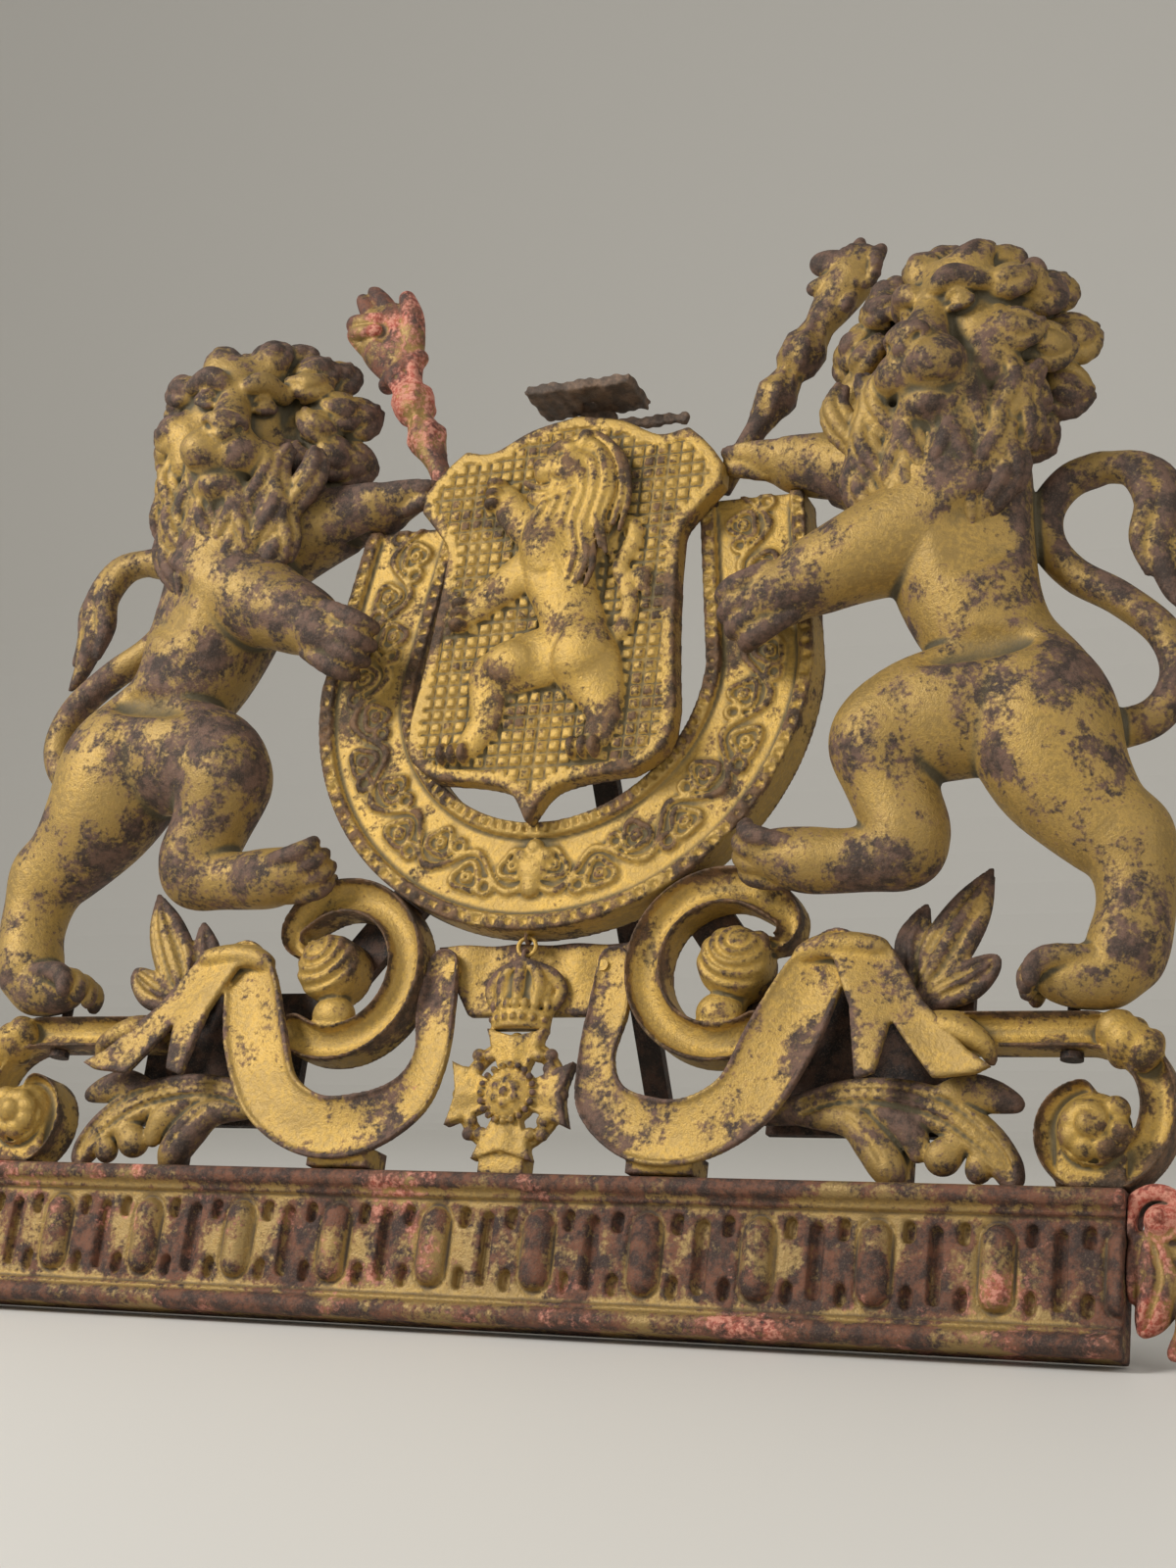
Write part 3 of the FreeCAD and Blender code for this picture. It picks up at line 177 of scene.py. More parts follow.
class Clay:
    """A block of clay: distances on a grid, positive outside the form, added to and carved in plate
    millimetres."""

    def __init__(self, low, high, voxel):
        self.voxel = voxel * COARSE
        self.low = np.array(low, float)
        counts = np.ceil((np.array(high, float) - self.low) / self.voxel).astype(int) + 1
        self.axes = [self.low[k] + self.voxel * np.arange(counts[k]) for k in range(3)]
        self.field = np.full(counts, EMPTY, np.float32)

    def window(self, low, high):
        """The part of the grid between two corners, with its coordinates as three arrays that
        broadcast."""
        cuts = tuple(slice(max(int(np.searchsorted(axis, a)) - 1, 0),
                           int(np.searchsorted(axis, b)) + 1)
                     for axis, a, b in zip(self.axes, low, high))
        x, y, z = (axis[cut] for axis, cut in zip(self.axes, cuts))
        return cuts, x[:, None, None], y[None, :, None], z[None, None, :]

    def put(self, distance, low, high, blend, carve=False):
        """Joins a form to the clay, or carves it out, within a window that the form cannot pass."""
        reach = blend + 2 * self.voxel
        cuts, x, y, z = self.window(np.asarray(low) - reach, np.asarray(high) + reach)
        old = self.field[cuts]
        if old.size:
            new = distance(x, y, z)
            self.field[cuts] = soft_max(old, -new, blend) if carve else soft_min(old, new, blend)

    def limb(self, stations, blend, flat=1.0, count=0, carve=False):
        """A tapering limb: for each span the distance to its axis less a radius that changes evenly
        along it. Rows are x, y, z, radius; flat squeezes it front to back."""
        rows = smooth_path(stations, count or 4 * len(stations))
        for near, far in zip(rows[:-1], rows[1:]):
            axis = far[:3] - near[:3]
            length = max(float(axis @ axis), 1e-9)

            def distance(x, y, z):
                dx, dy, dz = x - near[0], y - near[1], z - near[2]
                t = np.clip((dx * axis[0] + dy * axis[1] + dz * axis[2]) / length, 0.0, 1.0)
                ox, oy, oz = dx - t * axis[0], (dy - t * axis[1]) / flat, dz - t * axis[2]
                off = np.sqrt(ox ** 2 + oy ** 2 + oz ** 2)
                return off - near[3] - t * (far[3] - near[3])

            widest = max(near[3], far[3])
            low = np.minimum(near[:3], far[:3]) - widest
            self.put(distance, low, np.maximum(near[:3], far[:3]) + widest, blend, carve)

    def ball(self, centre, radii, blend, basis=np.eye(3), carve=False):
        """An ellipsoid: the length of the scaled offset, less one, times the least radius."""
        radii = np.broadcast_to(np.asarray(radii, float), 3)

        def distance(x, y, z):
            dx, dy, dz = x - centre[0], y - centre[1], z - centre[2]
            off = 0.0
            for direction, radius in zip(basis, radii):
                part = dx * direction[0] + dy * direction[1] + dz * direction[2]
                off = off + (part / radius) ** 2
            return (np.sqrt(off) - 1.0) * radii.min()

        reach = radii.max()
        self.put(distance, np.asarray(centre) - reach, np.asarray(centre) + reach, blend, carve)

    def relief(self, outline, front, back=0.0, blend=2.0, join=1.0, thick=0.0):
        """A casting inside an outline over X and Z, behind a front surface y = front(x, z). Its
        back is flat, or follows the front where a thickness is given."""
        x, z = self.axes[0][:, None], self.axes[2][None, :]
        shape = (x.size, z.size)
        edge = np.broadcast_to(outline(x, z), shape)[:, None, :]
        face = np.broadcast_to(front(x, z), shape)[:, None, :]
        y = self.axes[1][None, :, None]
        rear = face + thick if thick else back
        form = soft_max(soft_max(edge, face - y, blend), y - rear, 1.0)
        self.field = soft_min(self.field, form.astype(np.float32), join)

    def block(self, x, z, wide, high, depth, back=0.0, blend=2.0):
        """A plain block to stand on: half width and half height about a middle, from its back to a
        depth."""
        def outline(across, up):
            return np.maximum(np.abs(across - x) - wide, np.abs(up - z) - high)

        self.relief(outline, lambda across, up: -depth, back, blend)

    def eye(self, z):
        """A cast eye for the ring: a small torus round the X axis, by its two radii."""
        def distance(x, y, up):
            return np.hypot(np.hypot(y - EYE_Y, up - z) - EYE_RADIUS, x) - EYE_WIRE

        self.put(distance, (-2, EYE_Y - 4.7, z - 5), (2, EYE_Y + 5.3, z + 5), 0.5)

    def trim(self, distance):
        """Keeps only the clay where a distance over the whole grid is negative."""
        x, y, z = self.axes
        inside = distance(x[:, None, None], y[None, :, None], z[None, None, :])
        inside = np.broadcast_to(inside, self.field.shape)
        self.field = soft_max(self.field, inside, 0.8).astype(np.float32)

    def mesh(self, name, mirror):
        """The zero surface as a mesh in the frame, with what its finish reads at each point. Edge
        and swell say how far it stands proud: half less the share of solid in a cube round it, at a
        small and a large size. Rear says how squarely its normal looks to the back."""
        far = 3 * self.voxel
        field = np.clip(self.field, -far, far)
        for axis in range(3):
            for end in (0, -1):
                np.moveaxis(field, axis, 0)[end] = far
        grid = openvdb.FloatGrid(far)
        grid.copyFromArray(field.astype(np.float64))
        points, _, quads = grid.convertToPolygons(isovalue=0.0, adaptivity=0.0)
        solid = np.clip(0.5 - field / (2 * self.voxel), 0.0, 1.0).astype(np.float32)
        marks = {}
        for label, size in (("edge", 2.6), ("swell", 8.0)):
            share = box_blur(solid, max(int(round(size / self.voxel)), 1))
            marks[label] = 0.5 - sampled(share, points)
        plate = points * self.voxel + self.low
        faces = quads
        if mirror:
            plate = plate * np.array([-1.0, 1.0, 1.0])
            faces = quads[:, ::-1]
        data = bpy.data.meshes.new(name)
        data.vertices.add(len(plate))
        data.vertices.foreach_set("co", to_frame(plate).astype(np.float32).ravel())
        data.loops.add(faces.size)
        data.loops.foreach_set("vertex_index", faces.astype(np.int32).ravel())
        data.polygons.add(len(faces))
        data.polygons.foreach_set("loop_start", np.arange(0, faces.size, 4, dtype=np.int32))
        data.update(calc_edges=True)
        data.polygons.foreach_set("use_smooth", np.ones(len(faces), bool))
        normals = np.empty(3 * len(plate), np.float32)
        data.vertex_normals.foreach_get("vector", normals)
        marks["rear"] = ramp(normals.reshape(-1, 3) @ BACKWARD, 0.55, 0.85)
        for label, value in marks.items():
            mark = data.attributes.new(label, "FLOAT", "POINT")
            mark.data.foreach_set("value", value.astype(np.float32))
        data.validate()
        return data


def show(name, data, material, node):
    """Puts a mesh in the scene as the piece that stands for a CAD node."""
    data.materials.append(material)
    piece = bpy.data.objects.new(name, data)
    bpy.context.scene.collection.objects.link(piece)
    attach(piece, "arms")
    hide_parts(node)


# Materials

def linear(code):
    """An sRGB hex colour as linear RGBA."""
    parts = [int(code[k:k + 2], 16) / 255.0 for k in (1, 3, 5)]
    return [c / 12.92 if c <= 0.04045 else ((c + 0.055) / 1.055) ** 2.4 for c in parts] + [1.0]


def add_node(tree, kind, inputs=(), **settings):
    """Adds one node with its settings; each input is a value or the socket that feeds it."""
    node = tree.nodes.new(kind)
    for key, value in settings.items():
        setattr(node, key, value)
    for key, value in dict(inputs).items():
        if isinstance(value, bpy.types.NodeSocket):
            tree.links.new(value, node.inputs[key])
        else:
            node.inputs[key].default_value = value
    return node


# Patterns of the cast finish: size in mm, detail, roughness, and a shift in metres that keeps them
# apart. Moulding sand is finer than this: it is drawn as coarse as it needs to show.
PATTERNS = (("areas", 110.0, 2.0, 0.62, 0.0),  # what weather and hands rub
            ("ragged", 36.0, 9.0, 0.7, 0.37),  # flaking leaf
            ("grain", 2.6, 3.0, 0.62, 0.11),  # the skin that the sand leaves
            ("pits", 0.9, 2.0, 0.62, 0.0),  # its deeper pits
            ("blooms", 9.0, 6.0, 0.7, 0.53),  # rust
            ("patches", 38.0, 6.0, 0.66, 0.71),  # primer
            ("flakes", 4.0, 5.0, 0.75, 0.29))  # scale on bare iron
PIT_BROWN, PRIMER_RED, PRIMER_PALE = "#5F4C3D", "#A8503F", "#C98A74"
LEAF_METALLIC, IRON_METALLIC = 0.52, 0.18
MIX_UNDER, MIX_OVER, MIX_RESULT = 6, 7, 2  # the Mix node's colour sockets


def cast_finish(name, gold, ochre, iron, rust, soil, wear, primer, dust_and_shade):
    """Gilded cast iron: leaf over red primer over brown iron. Each mask is a smooth step of a
    weighted sum of patterns. The leaf goes first from what stands proud and from the back, then in
    ragged patches; primer shows in places where the leaf is gone, and soil lies in hollows, made
    darker there as painted shade."""
    material = bpy.data.materials.new(name)
    material.use_nodes = True
    tree = material.node_tree
    tree.nodes.clear()
    part = {label: add_node(tree, "ShaderNodeAttribute", attribute_name=label).outputs["Fac"]
            for label in ("edge", "swell", "rear")}
    place = add_node(tree, "ShaderNodeTexCoord").outputs["Object"]
    for label, size, detail, roughness, shift in PATTERNS:
        moved = add_node(tree, "ShaderNodeMapping",
                         {"Vector": place, "Location": (shift, shift / 2, -shift)})
        part[label] = add_node(tree, "ShaderNodeTexNoise", {
            "Vector": moved.outputs["Vector"], "Scale": 1000.0 / size, "Detail": detail,
            "Roughness": roughness}).outputs["Fac"]

    def weighed(bias, **weights):
        total = bias
        for label, weight in weights.items():
            total = add_node(tree, "ShaderNodeMath", {0: part[label], 1: weight, 2: total},
                             operation="MULTIPLY_ADD").outputs[0]
        return total

    rubbed = weighed(wear - 2.62, edge=1.2, swell=0.95, ragged=3.0, areas=0.9, grain=1.1, rear=0.7)
    shiny = weighed(-0.3, grain=0.6, ragged=0.9)
    painted = weighed(primer - 0.82, patches=1.0, grain=0.25)
    # Soil in the hollows, made darker there as painted shade
    sunk = weighed(dust_and_shade - 0.46, edge=-2.4, swell=-1.8, ragged=0.6)
    for label, total, start, end in (
            ("worn", rubbed, -0.2, 0.22), ("fresh", shiny, 0.3, 0.65),
            ("rusty", part["blooms"], 0.4, 0.62), ("pitted", part["pits"], 0.5, 0.75),
            ("primed", painted, 0.0, 0.14), ("chalky", part["grain"], 0.4, 0.6),
            ("soiled", sunk, 0.0, 0.4)):
        step = {"Value": total, "From Min": start, "From Max": end}
        part[label] = add_node(tree, "ShaderNodeMapRange", step,
                               interpolation_type="SMOOTHSTEP").outputs["Result"]
    # Each colour lies over another by one of the masks
    for label, share, under, over in (
            ("leaf", "fresh", ochre, gold), ("scale", "rusty", iron, rust),
            ("metal", "pitted", "scale", PIT_BROWN), ("paint", "chalky", PRIMER_RED, PRIMER_PALE),
            ("ground", "primed", "metal", "paint"), ("cover", "worn", "leaf", "ground"),
            ("colour", "soiled", "cover", soil)):
        under, over = (linear(tint) if tint.startswith("#") else part[tint]
                       for tint in (under, over))
        layers = {"Factor": part[share], MIX_UNDER: under, MIX_OVER: over}
        part[label] = add_node(tree, "ShaderNodeMix", layers, data_type="RGBA").outputs[MIX_RESULT]
    part["flaking"] = add_node(tree, "ShaderNodeMath", {0: part["worn"], 1: part["flakes"]},
                               operation="MULTIPLY").outputs[0]
    sheen = add_node(tree, "ShaderNodeMapRange", {"Value": part["worn"], "To Min": LEAF_METALLIC,
                                                  "To Max": IRON_METALLIC}).outputs["Result"]
    # Less metallic where the hollows hold soil and painted shade
    clear_of_soil_and_shade = add_node(tree, "ShaderNodeMath", {0: 1.0, 1: part["soiled"]},
                     operation="SUBTRACT").outputs[0]
    metallic = add_node(tree, "ShaderNodeMath", {0: sheen, 1: clear_of_soil_and_shade},
                        operation="MULTIPLY").outputs[0]
    height = weighed(0.0, grain=0.6, pits=0.3, ragged=0.9, worn=-0.7, flaking=1.3)
    bump = add_node(tree, "ShaderNodeBump", {"Height": height, "Strength": 0.65,
                                             "Distance": 0.0012})
    shader = add_node(tree, "ShaderNodeBsdfPrincipled", {
        "Base Color": part["colour"], "Metallic": metallic, "Normal": bump.outputs["Normal"],
        "Roughness": weighed(0.4, worn=0.16, soiled=0.22, grain=0.3)})
    add_node(tree, "ShaderNodeOutputMaterial", {"Surface": shader.outputs["BSDF"]})
    return material


# The fifth colour of each finish lies in the hollows: soil, made darker as painted shade
# Gilded cast iron, long outdoors: a dull yellow sheen, brown and grainy wherever the leaf has
# flaked off
GILT = cast_finish("worn_gilded_cast_iron", "#CBA552", "#957A45", "#3C2F27", "#6E5344", "#4F4630",
                   wear=0.06, primer=0.0, dust_and_shade=0.14)
# The same where the leaf has kept best: a clearer yellow, brown only on rubbed rims, and in hollows
# as soil and painted shade
BRIGHT = cast_finish("bright_gilded_cast_iron", "#D0A950", "#A28446", "#40301F", "#76573A",
                     "#5F5234", wear=-0.06, primer=-0.04, dust_and_shade=0.04)
# A thin gilded casting: nearly whole leaf that shades softly over the folds
CLOTH = cast_finish("gilded_thin_casting", "#CDA650", "#9A7E46", "#3F3129", "#735646", "#5E5338",
                    wear=-0.24, primer=-0.02, dust_and_shade=0.08)
# Rusted cast iron: warm brown scale, with remains of leaf and of red primer
RUSTED = cast_finish("rusted_cast_iron_with_gilding", "#BC9950", "#8F7648", "#3A2A23", "#744A35",
                     "#46382A", wear=0.1, primer=0.14, dust_and_shade=0.06)
# Red-primed cast iron: chalky salmon red over rust, with next to no leaf left
PRIMED = cast_finish("red_primed_cast_iron", "#B8954E", "#8F7443", "#46312A", "#7A4C38", "#5A4636",
                     wear=0.2, primer=0.26, dust_and_shade=-0.1)
# Bare cast iron, rough from the sand: grey brown and matt
BARE = cast_finish("bare_cast_iron", "#6E5E4C", "#5F5041", "#4C4036", "#7A6350", "#302822",
                   wear=0.4, primer=-0.3, dust_and_shade=0.0)
# Rolled iron bar, long rusted: near black, its rust darkened as painted shade so that it sinks
# behind the castings
DARK = cast_finish("dark_iron_bar", "#4A3F35", "#3A322B", "#231D19", "#523A2C", "#2A2420",
                   wear=0.5, primer=-0.4, dust_and_shade=0.0)


# Lions: stations are shares of the lion's span from its foot: across, front to back, up, radius

def lion_rows(shares, swell=1.0):
    """Shares of the lion's span as places and radii in plate millimetres."""
    rows = np.array(shares, float) * LION_SPAN
    rows[:, 0] += LION_X
    rows[:, 2] += LION_FOOT
    rows[:, 3] *= swell
    return rows


TORSO = [(-0.005, -0.065, 0.72, 0.1), (0.008, -0.065, 0.62, 0.093), (0.033, -0.06, 0.53, 0.08),
         (0.07, -0.055, 0.46, 0.069), (0.112, -0.055, 0.39, 0.083), (0.14, -0.055, 0.32, 0.078)]
HAUNCH = [(0.1, -0.06, 0.405, 0.07), (0.128, -0.068, 0.36, 0.09), (0.15, -0.066, 0.3, 0.082),
          (0.185, -0.06, 0.25, 0.066), (0.226, -0.056, 0.205, 0.053)]
STANDING_SHANK = [(0.232, -0.054, 0.212, 0.046), (0.246, -0.05, 0.16, 0.04),
                  (0.247, -0.05, 0.11, 0.038), (0.236, -0.05, 0.06, 0.043)]
RAISED_THIGH = [(0.11, -0.06, 0.385, 0.078), (0.03, -0.078, 0.372, 0.08),
                (-0.03, -0.082, 0.355, 0.073), (-0.062, -0.084, 0.325, 0.06)]
RAISED_SHANK = [(-0.062, -0.084, 0.325, 0.058), (-0.044, -0.078, 0.265, 0.047),
                (-0.026, -0.072, 0.215, 0.045), (-0.04, -0.07, 0.19, 0.038)]
RAISED_FOOT = [(-0.02, -0.07, 0.19, 0.036), (-0.1, -0.07, 0.184, 0.033),
               (-0.165, -0.074, 0.186, 0.036)]
LOWER_FORELEG = [(0.02, -0.08, 0.65, 0.08), (-0.05, -0.095, 0.61, 0.068),
                 (-0.11, -0.108, 0.58, 0.056), (-0.17, -0.112, 0.552, 0.047)]
UPPER_FORELEG = [(-0.03, -0.055, 0.7, 0.068), (-0.12, -0.052, 0.735, 0.054),
                 (-0.2, -0.052, 0.76, 0.043), (-0.225, -0.052, 0.767, 0.04)]
MANE = [(-0.02, -0.072, 0.61, 0.03), (-0.018, -0.072, 0.66, 0.078), (-0.01, -0.072, 0.74, 0.11),
        (-0.005, -0.07, 0.82, 0.138), (0.0, -0.064, 0.89, 0.145), (0.003, -0.056, 0.94, 0.125),
        (0.005, -0.05, 0.97, 0.09)]
TAIL = [(0.19, -0.03, 0.352, 0.024), (0.257, -0.03, 0.37, 0.021), (0.285, -0.03, 0.42, 0.02),
        (0.268, -0.03, 0.48, 0.02), (0.212, -0.03, 0.533, 0.02), (0.155, -0.03, 0.57, 0.02),
        (0.12, -0.03, 0.615, 0.02), (0.115, -0.03, 0.665, 0.02), (0.142, -0.03, 0.705, 0.02),
        (0.185, -0.03, 0.72, 0.02)]
TUFT = [[(0.175, -0.03, 0.72, 0.019), (0.222, -0.036, 0.708, 0.02), (0.245, -0.04, 0.66, 0.018),
         (0.236, -0.04, 0.61, 0.014), (0.246, -0.034, 0.565, 0.006)],
        [(0.18, -0.028, 0.724, 0.018), (0.238, -0.03, 0.71, 0.021), (0.266, -0.034, 0.655, 0.02),
         (0.258, -0.034, 0.6, 0.018), (0.272, -0.03, 0.545, 0.012), (0.286, -0.03, 0.515, 0.004)],
        [(0.19, -0.024, 0.724, 0.016), (0.25, -0.022, 0.71, 0.018), (0.282, -0.024, 0.65, 0.017),
         (0.278, -0.026, 0.6, 0.014), (0.288, -0.026, 0.56, 0.007)]]


def paw(clay, heel, toe, across, size):
    """A paw: a pad that thins from heel to toe and four toes side by side, each a knuckle that
    drops to its tip. Places are multiples of the size along, across and out of the foot."""
    heel, toe, across = (np.asarray(v, float) for v in (heel, toe, across))
    on = (toe - heel) / np.linalg.norm(toe - heel)
    across = across - on * (across @ on)
    across = across / np.linalg.norm(across)
    out = np.cross(across, on)
    out = out * np.sign(out @ np.array([0.0, -1.0, 0.35]))
    on, across, out = on * size, across * size, out * size
    clay.limb([(*heel, size * 0.82), (*(toe - on * 0.9), size * 0.74),
               (*(toe - on * 0.25), size * 0.5)], 4.0)
    for k in range(4):
        set_back = 0.18 if k in (0, 3) else 0.0
        knuckle = toe + across * (k - 1.5) * 0.5 - on * set_back + out * 0.3
        clay.limb([(*(knuckle - on + out * 0.06), size * 0.24), (*knuckle, size * 0.33),
                   (*(knuckle + on * 0.42 - out * 0.26), size * 0.29),
                   (*(knuckle + on * 0.5 - out * 0.62), size * 0.22)], 1.0, count=9)


def lion_body():
    """A lion's body, legs and tail as joined limbs, with paws and a grooved tuft, trimmed where it
    meets its seat."""
    clay = Clay((84, -104, 155), (340, 3, 470), 1.7)
    clay.limb(lion_rows(TORSO), 6.0, 0.9)
    clay.limb(lion_rows(RAISED_THIGH), 5.0, 0.85)
    clay.limb(lion_rows(RAISED_SHANK), 6.0)
    clay.limb(lion_rows(RAISED_FOOT), 6.0)
    clay.limb(lion_rows(HAUNCH), 3.0, 0.92)
    clay.limb(lion_rows(STANDING_SHANK), 6.0)
    shoulder = [(-0.03, -0.05, 0.73, 0.07), (0.0, -0.06, 0.66, 0.09)]
    clay.limb(lion_rows(shoulder), 5.0)
    clay.limb(lion_rows(LOWER_FORELEG), 3.0, 0.95)
    clay.limb(lion_rows(UPPER_FORELEG), 4.0)
    clay.limb(lion_rows(TAIL), 2.5, count=60)
    for strand in TUFT:
        clay.limb(lion_rows(strand), 0.9, count=26)
    # Muscle and bone under the skin: chest, knee, hock, haunch and ribs
    for place, radii in (((0.0, -0.1, 0.655), (30, 14, 34)),
                         ((-0.06, -0.1, 0.335), (23, 20, 24)),
                         ((0.246, -0.055, 0.205), (17, 16, 19)),
                         ((0.125, -0.09, 0.36), (30, 18, 36)),
                         ((0.045, -0.085, 0.55), (24, 16, 40))):
        clay.ball(lion_rows([(*place, 0.0)])[0, :3], radii, 8.0)
    groin = [(0.0, -0.145, 0.425, 0.008), (0.06, -0.136, 0.437, 0.012),
             (0.12, -0.128, 0.446, 0.008)]
    clay.limb(lion_rows(groin), 9.0, carve=True)
    for low, high in ((0.53, 0.585), (0.56, 0.615), (0.59, 0.64)):
        rib = [(0.02, -0.165, low, 0.01), (0.06, -0.15, (low + high) / 2, 0.012),
               (0.1, -0.125, high, 0.01)]
        clay.limb(lion_rows(rib), 9.0, carve=True)
    # Standing foot, raised foot, and the paws on the collar and on the sceptre
    paw(clay, (304, -20, 174), (274, -24, 172), (0.35, -1, 0.1), 17.5)
    paw(clay, (154, -29, 233), (127, -32, 237), (0.1, -0.75, 0.65), 16.0)
    paw(clay, (140, -46, 374), (116, -48, 361), (-0.46, -0.25, 0.88), 18.5)
    paw(clay, (118, -22, 466), (97, -28, 471), (0.2, -0.35, 1.0), 15.0)
    # Seats: flat back, scroll top, inner scroll and collar front
    collar_front = -COLLAR_DEPTH - RIM_RISE - SEAT_GAP

    def seats(x, y, z):
        band = np.where(z > COLLAR_Z, np.abs(x), np.hypot(x, z - COLLAR_Z)) - COLLAR_OUTER
        in_collar = np.maximum(np.maximum(collar_front - y, band), z - COLLAR_Z - COLLAR_LEG)
        ring = np.hypot(x - SCROLL_X, z - SCROLL_Z) - SCROLL_R - SCROLL_BAND - 0.5
        in_scroll = np.maximum(-SCROLL_DEPTH - SEAT_GAP - y, ring)
        behind_or_below = np.maximum(y + 0.1, LION_FOOT + 0.1 - z)
        return np.maximum(behind_or_below, np.maximum(-in_collar, -in_scroll))

    clay.trim(seats)
    return clay


# The head's middle, and its basis: sideways, the way it faces, and up
HEAD = np.array([224.0, -36.0, 512.0])
FACING = np.array([-0.42, -0.89, -0.16])
FACING = FACING / np.linalg.norm(FACING)
LATERAL = -np.cross(FACING, [0.0, 0.0, 1.0])
LATERAL = LATERAL / np.linalg.norm(LATERAL)
CROWNWARD = np.cross(FACING, LATERAL)
HEAD_BASIS = np.array([LATERAL, FACING, CROWNWARD])


def on_head(rows):
    """Rows of lateral, forward and upward millimetres on the head, with any radius, as plate
    places."""
    rows = np.atleast_2d(np.asarray(rows, float))
    return np.hstack([HEAD + rows[:, :3] @ HEAD_BASIS, rows[:, 3:]])


# Rings of the mane, from behind: centre, turn to the middle, locks, reach from and to, depth from
# and to, width
MANE_RINGS = (((213, -14, 508), -0.04, 21, 47.0, 70.0, 6.0, 0.0, 11.5),
              ((214, -20, 509), -0.14, 19, 42.0, 63.0, 18.0, 9.0, 11.0),
              ((217, -28, 511), -0.28, 17, 35.0, 54.0, 24.0, 15.0, 9.5))
# Rows of locks on the chest: height of their roots, half width and length
CHEST_ROWS = ((486.0, 52.0, 44.0), (462.0, 45.0, 42.0), (440.0, 34.0, 40.0), (424.0, 20.0, 26.0))


def lock(clay, rows, outward, width):
    """A lock of hair: three strands side by side along a curve, thick in the middle and fine at the
    tip."""
    path = smooth_path(rows, 12)
    along = np.gradient(path, axis=0)
    across = np.cross(along, outward)
    across /= np.maximum(np.linalg.norm(across, axis=1, keepdims=True), 1e-6)
    t = np.linspace(0.0, 1.0, len(path))
    thick = width * (0.3 + 0.7 * np.sin(np.pi * np.clip(0.12 + 0.82 * t, 0, 1)))
    for side, lift in ((-1, 0.0), (0, 0.3), (1, 0.0)):
        spread = across * (side * thick * 0.62)[:, None] + np.asarray(outward) * lift * width
        strand = np.column_stack([path + spread, thick * (0.46 if side else 0.52)])
        clay.limb(strand, 0.9, count=len(path))


def lion_head():
    """A lion's head: a mane of locks in rings round the face and in rows down the chest, and a
    carved face. Ring locks start on an ellipse round the face, run outwards and back, and curl to
    one side by turns."""
    clay = Clay((140, -104, 392), (292, 3, 585), 1.2)
    clay.limb(lion_rows(MANE, 0.82), 6.0, 0.36)
    for row, ring in enumerate(MANE_RINGS):
        centre, inward, count, start, end, deep_from, deep_to, width = ring
        forward = np.array([inward, -1.0, -0.1])
        forward = forward / np.linalg.norm(forward)
        lateral = np.cross([0.0, 0.0, 1.0], forward)
        basis = np.array([lateral / np.linalg.norm(lateral), forward, np.cross(forward, lateral)])
        t = np.array([0.0, 0.35, 0.7, 1.0])
        reach = start + (end - start) * t
        depth = deep_from + (deep_to - deep_from) * t ** 1.4 + 5.0 * np.sin(math.pi * t)
        for k in range(count):
            turn = math.radians(-150.0 + 300.0 * (k + 0.5 * (row % 2)) / (count - 0.5))
            curl = 0.22 * (1 if (k + row) % 2 else -1) + 0.16 * math.sin(turn)
            bend = turn + curl * np.sin(2.4 * t) - 0.25 * curl * t
            rows = np.column_stack([1.02 * reach * np.sin(bend), depth,
                                    0.96 * reach * np.cos(bend) + 3.0])
            outward = np.array([0.4 * math.sin(turn), 0.9, 0.4 * math.cos(turn)]) @ basis
            lock(clay, np.array(centre) + rows @ basis, outward / np.linalg.norm(outward), width)
    for row, (top, half, long) in enumerate(CHEST_ROWS):
        count = int(2 * half / 12.5)
        t = np.linspace(0.0, 1.0, 5)
        for k in range(count + 1):
            off = -half + 2 * half * k / count
            round_front = math.sqrt(max(1.0 - (off / (half + 14.0)) ** 2, 0.05))
            sway = 5.0 * (1 if (k + row) % 2 else -1)
            across = LION_X - 4 + off * (1 - 0.16 * t) + sway * np.sin(5.2 * t)
            front = -30.0 - (0.4 * half + 13.0 - 8.0 * t) * round_front - 3.0 * np.sin(3.0 * t)
            rows = np.column_stack([across, front, top - long * t])
            lock(clay, rows, np.array([0.35 * off / half, -0.93, 0.1]), 9.0)
    face(clay)
    clay.trim(lambda x, y, z: y + 0.1)
    return clay


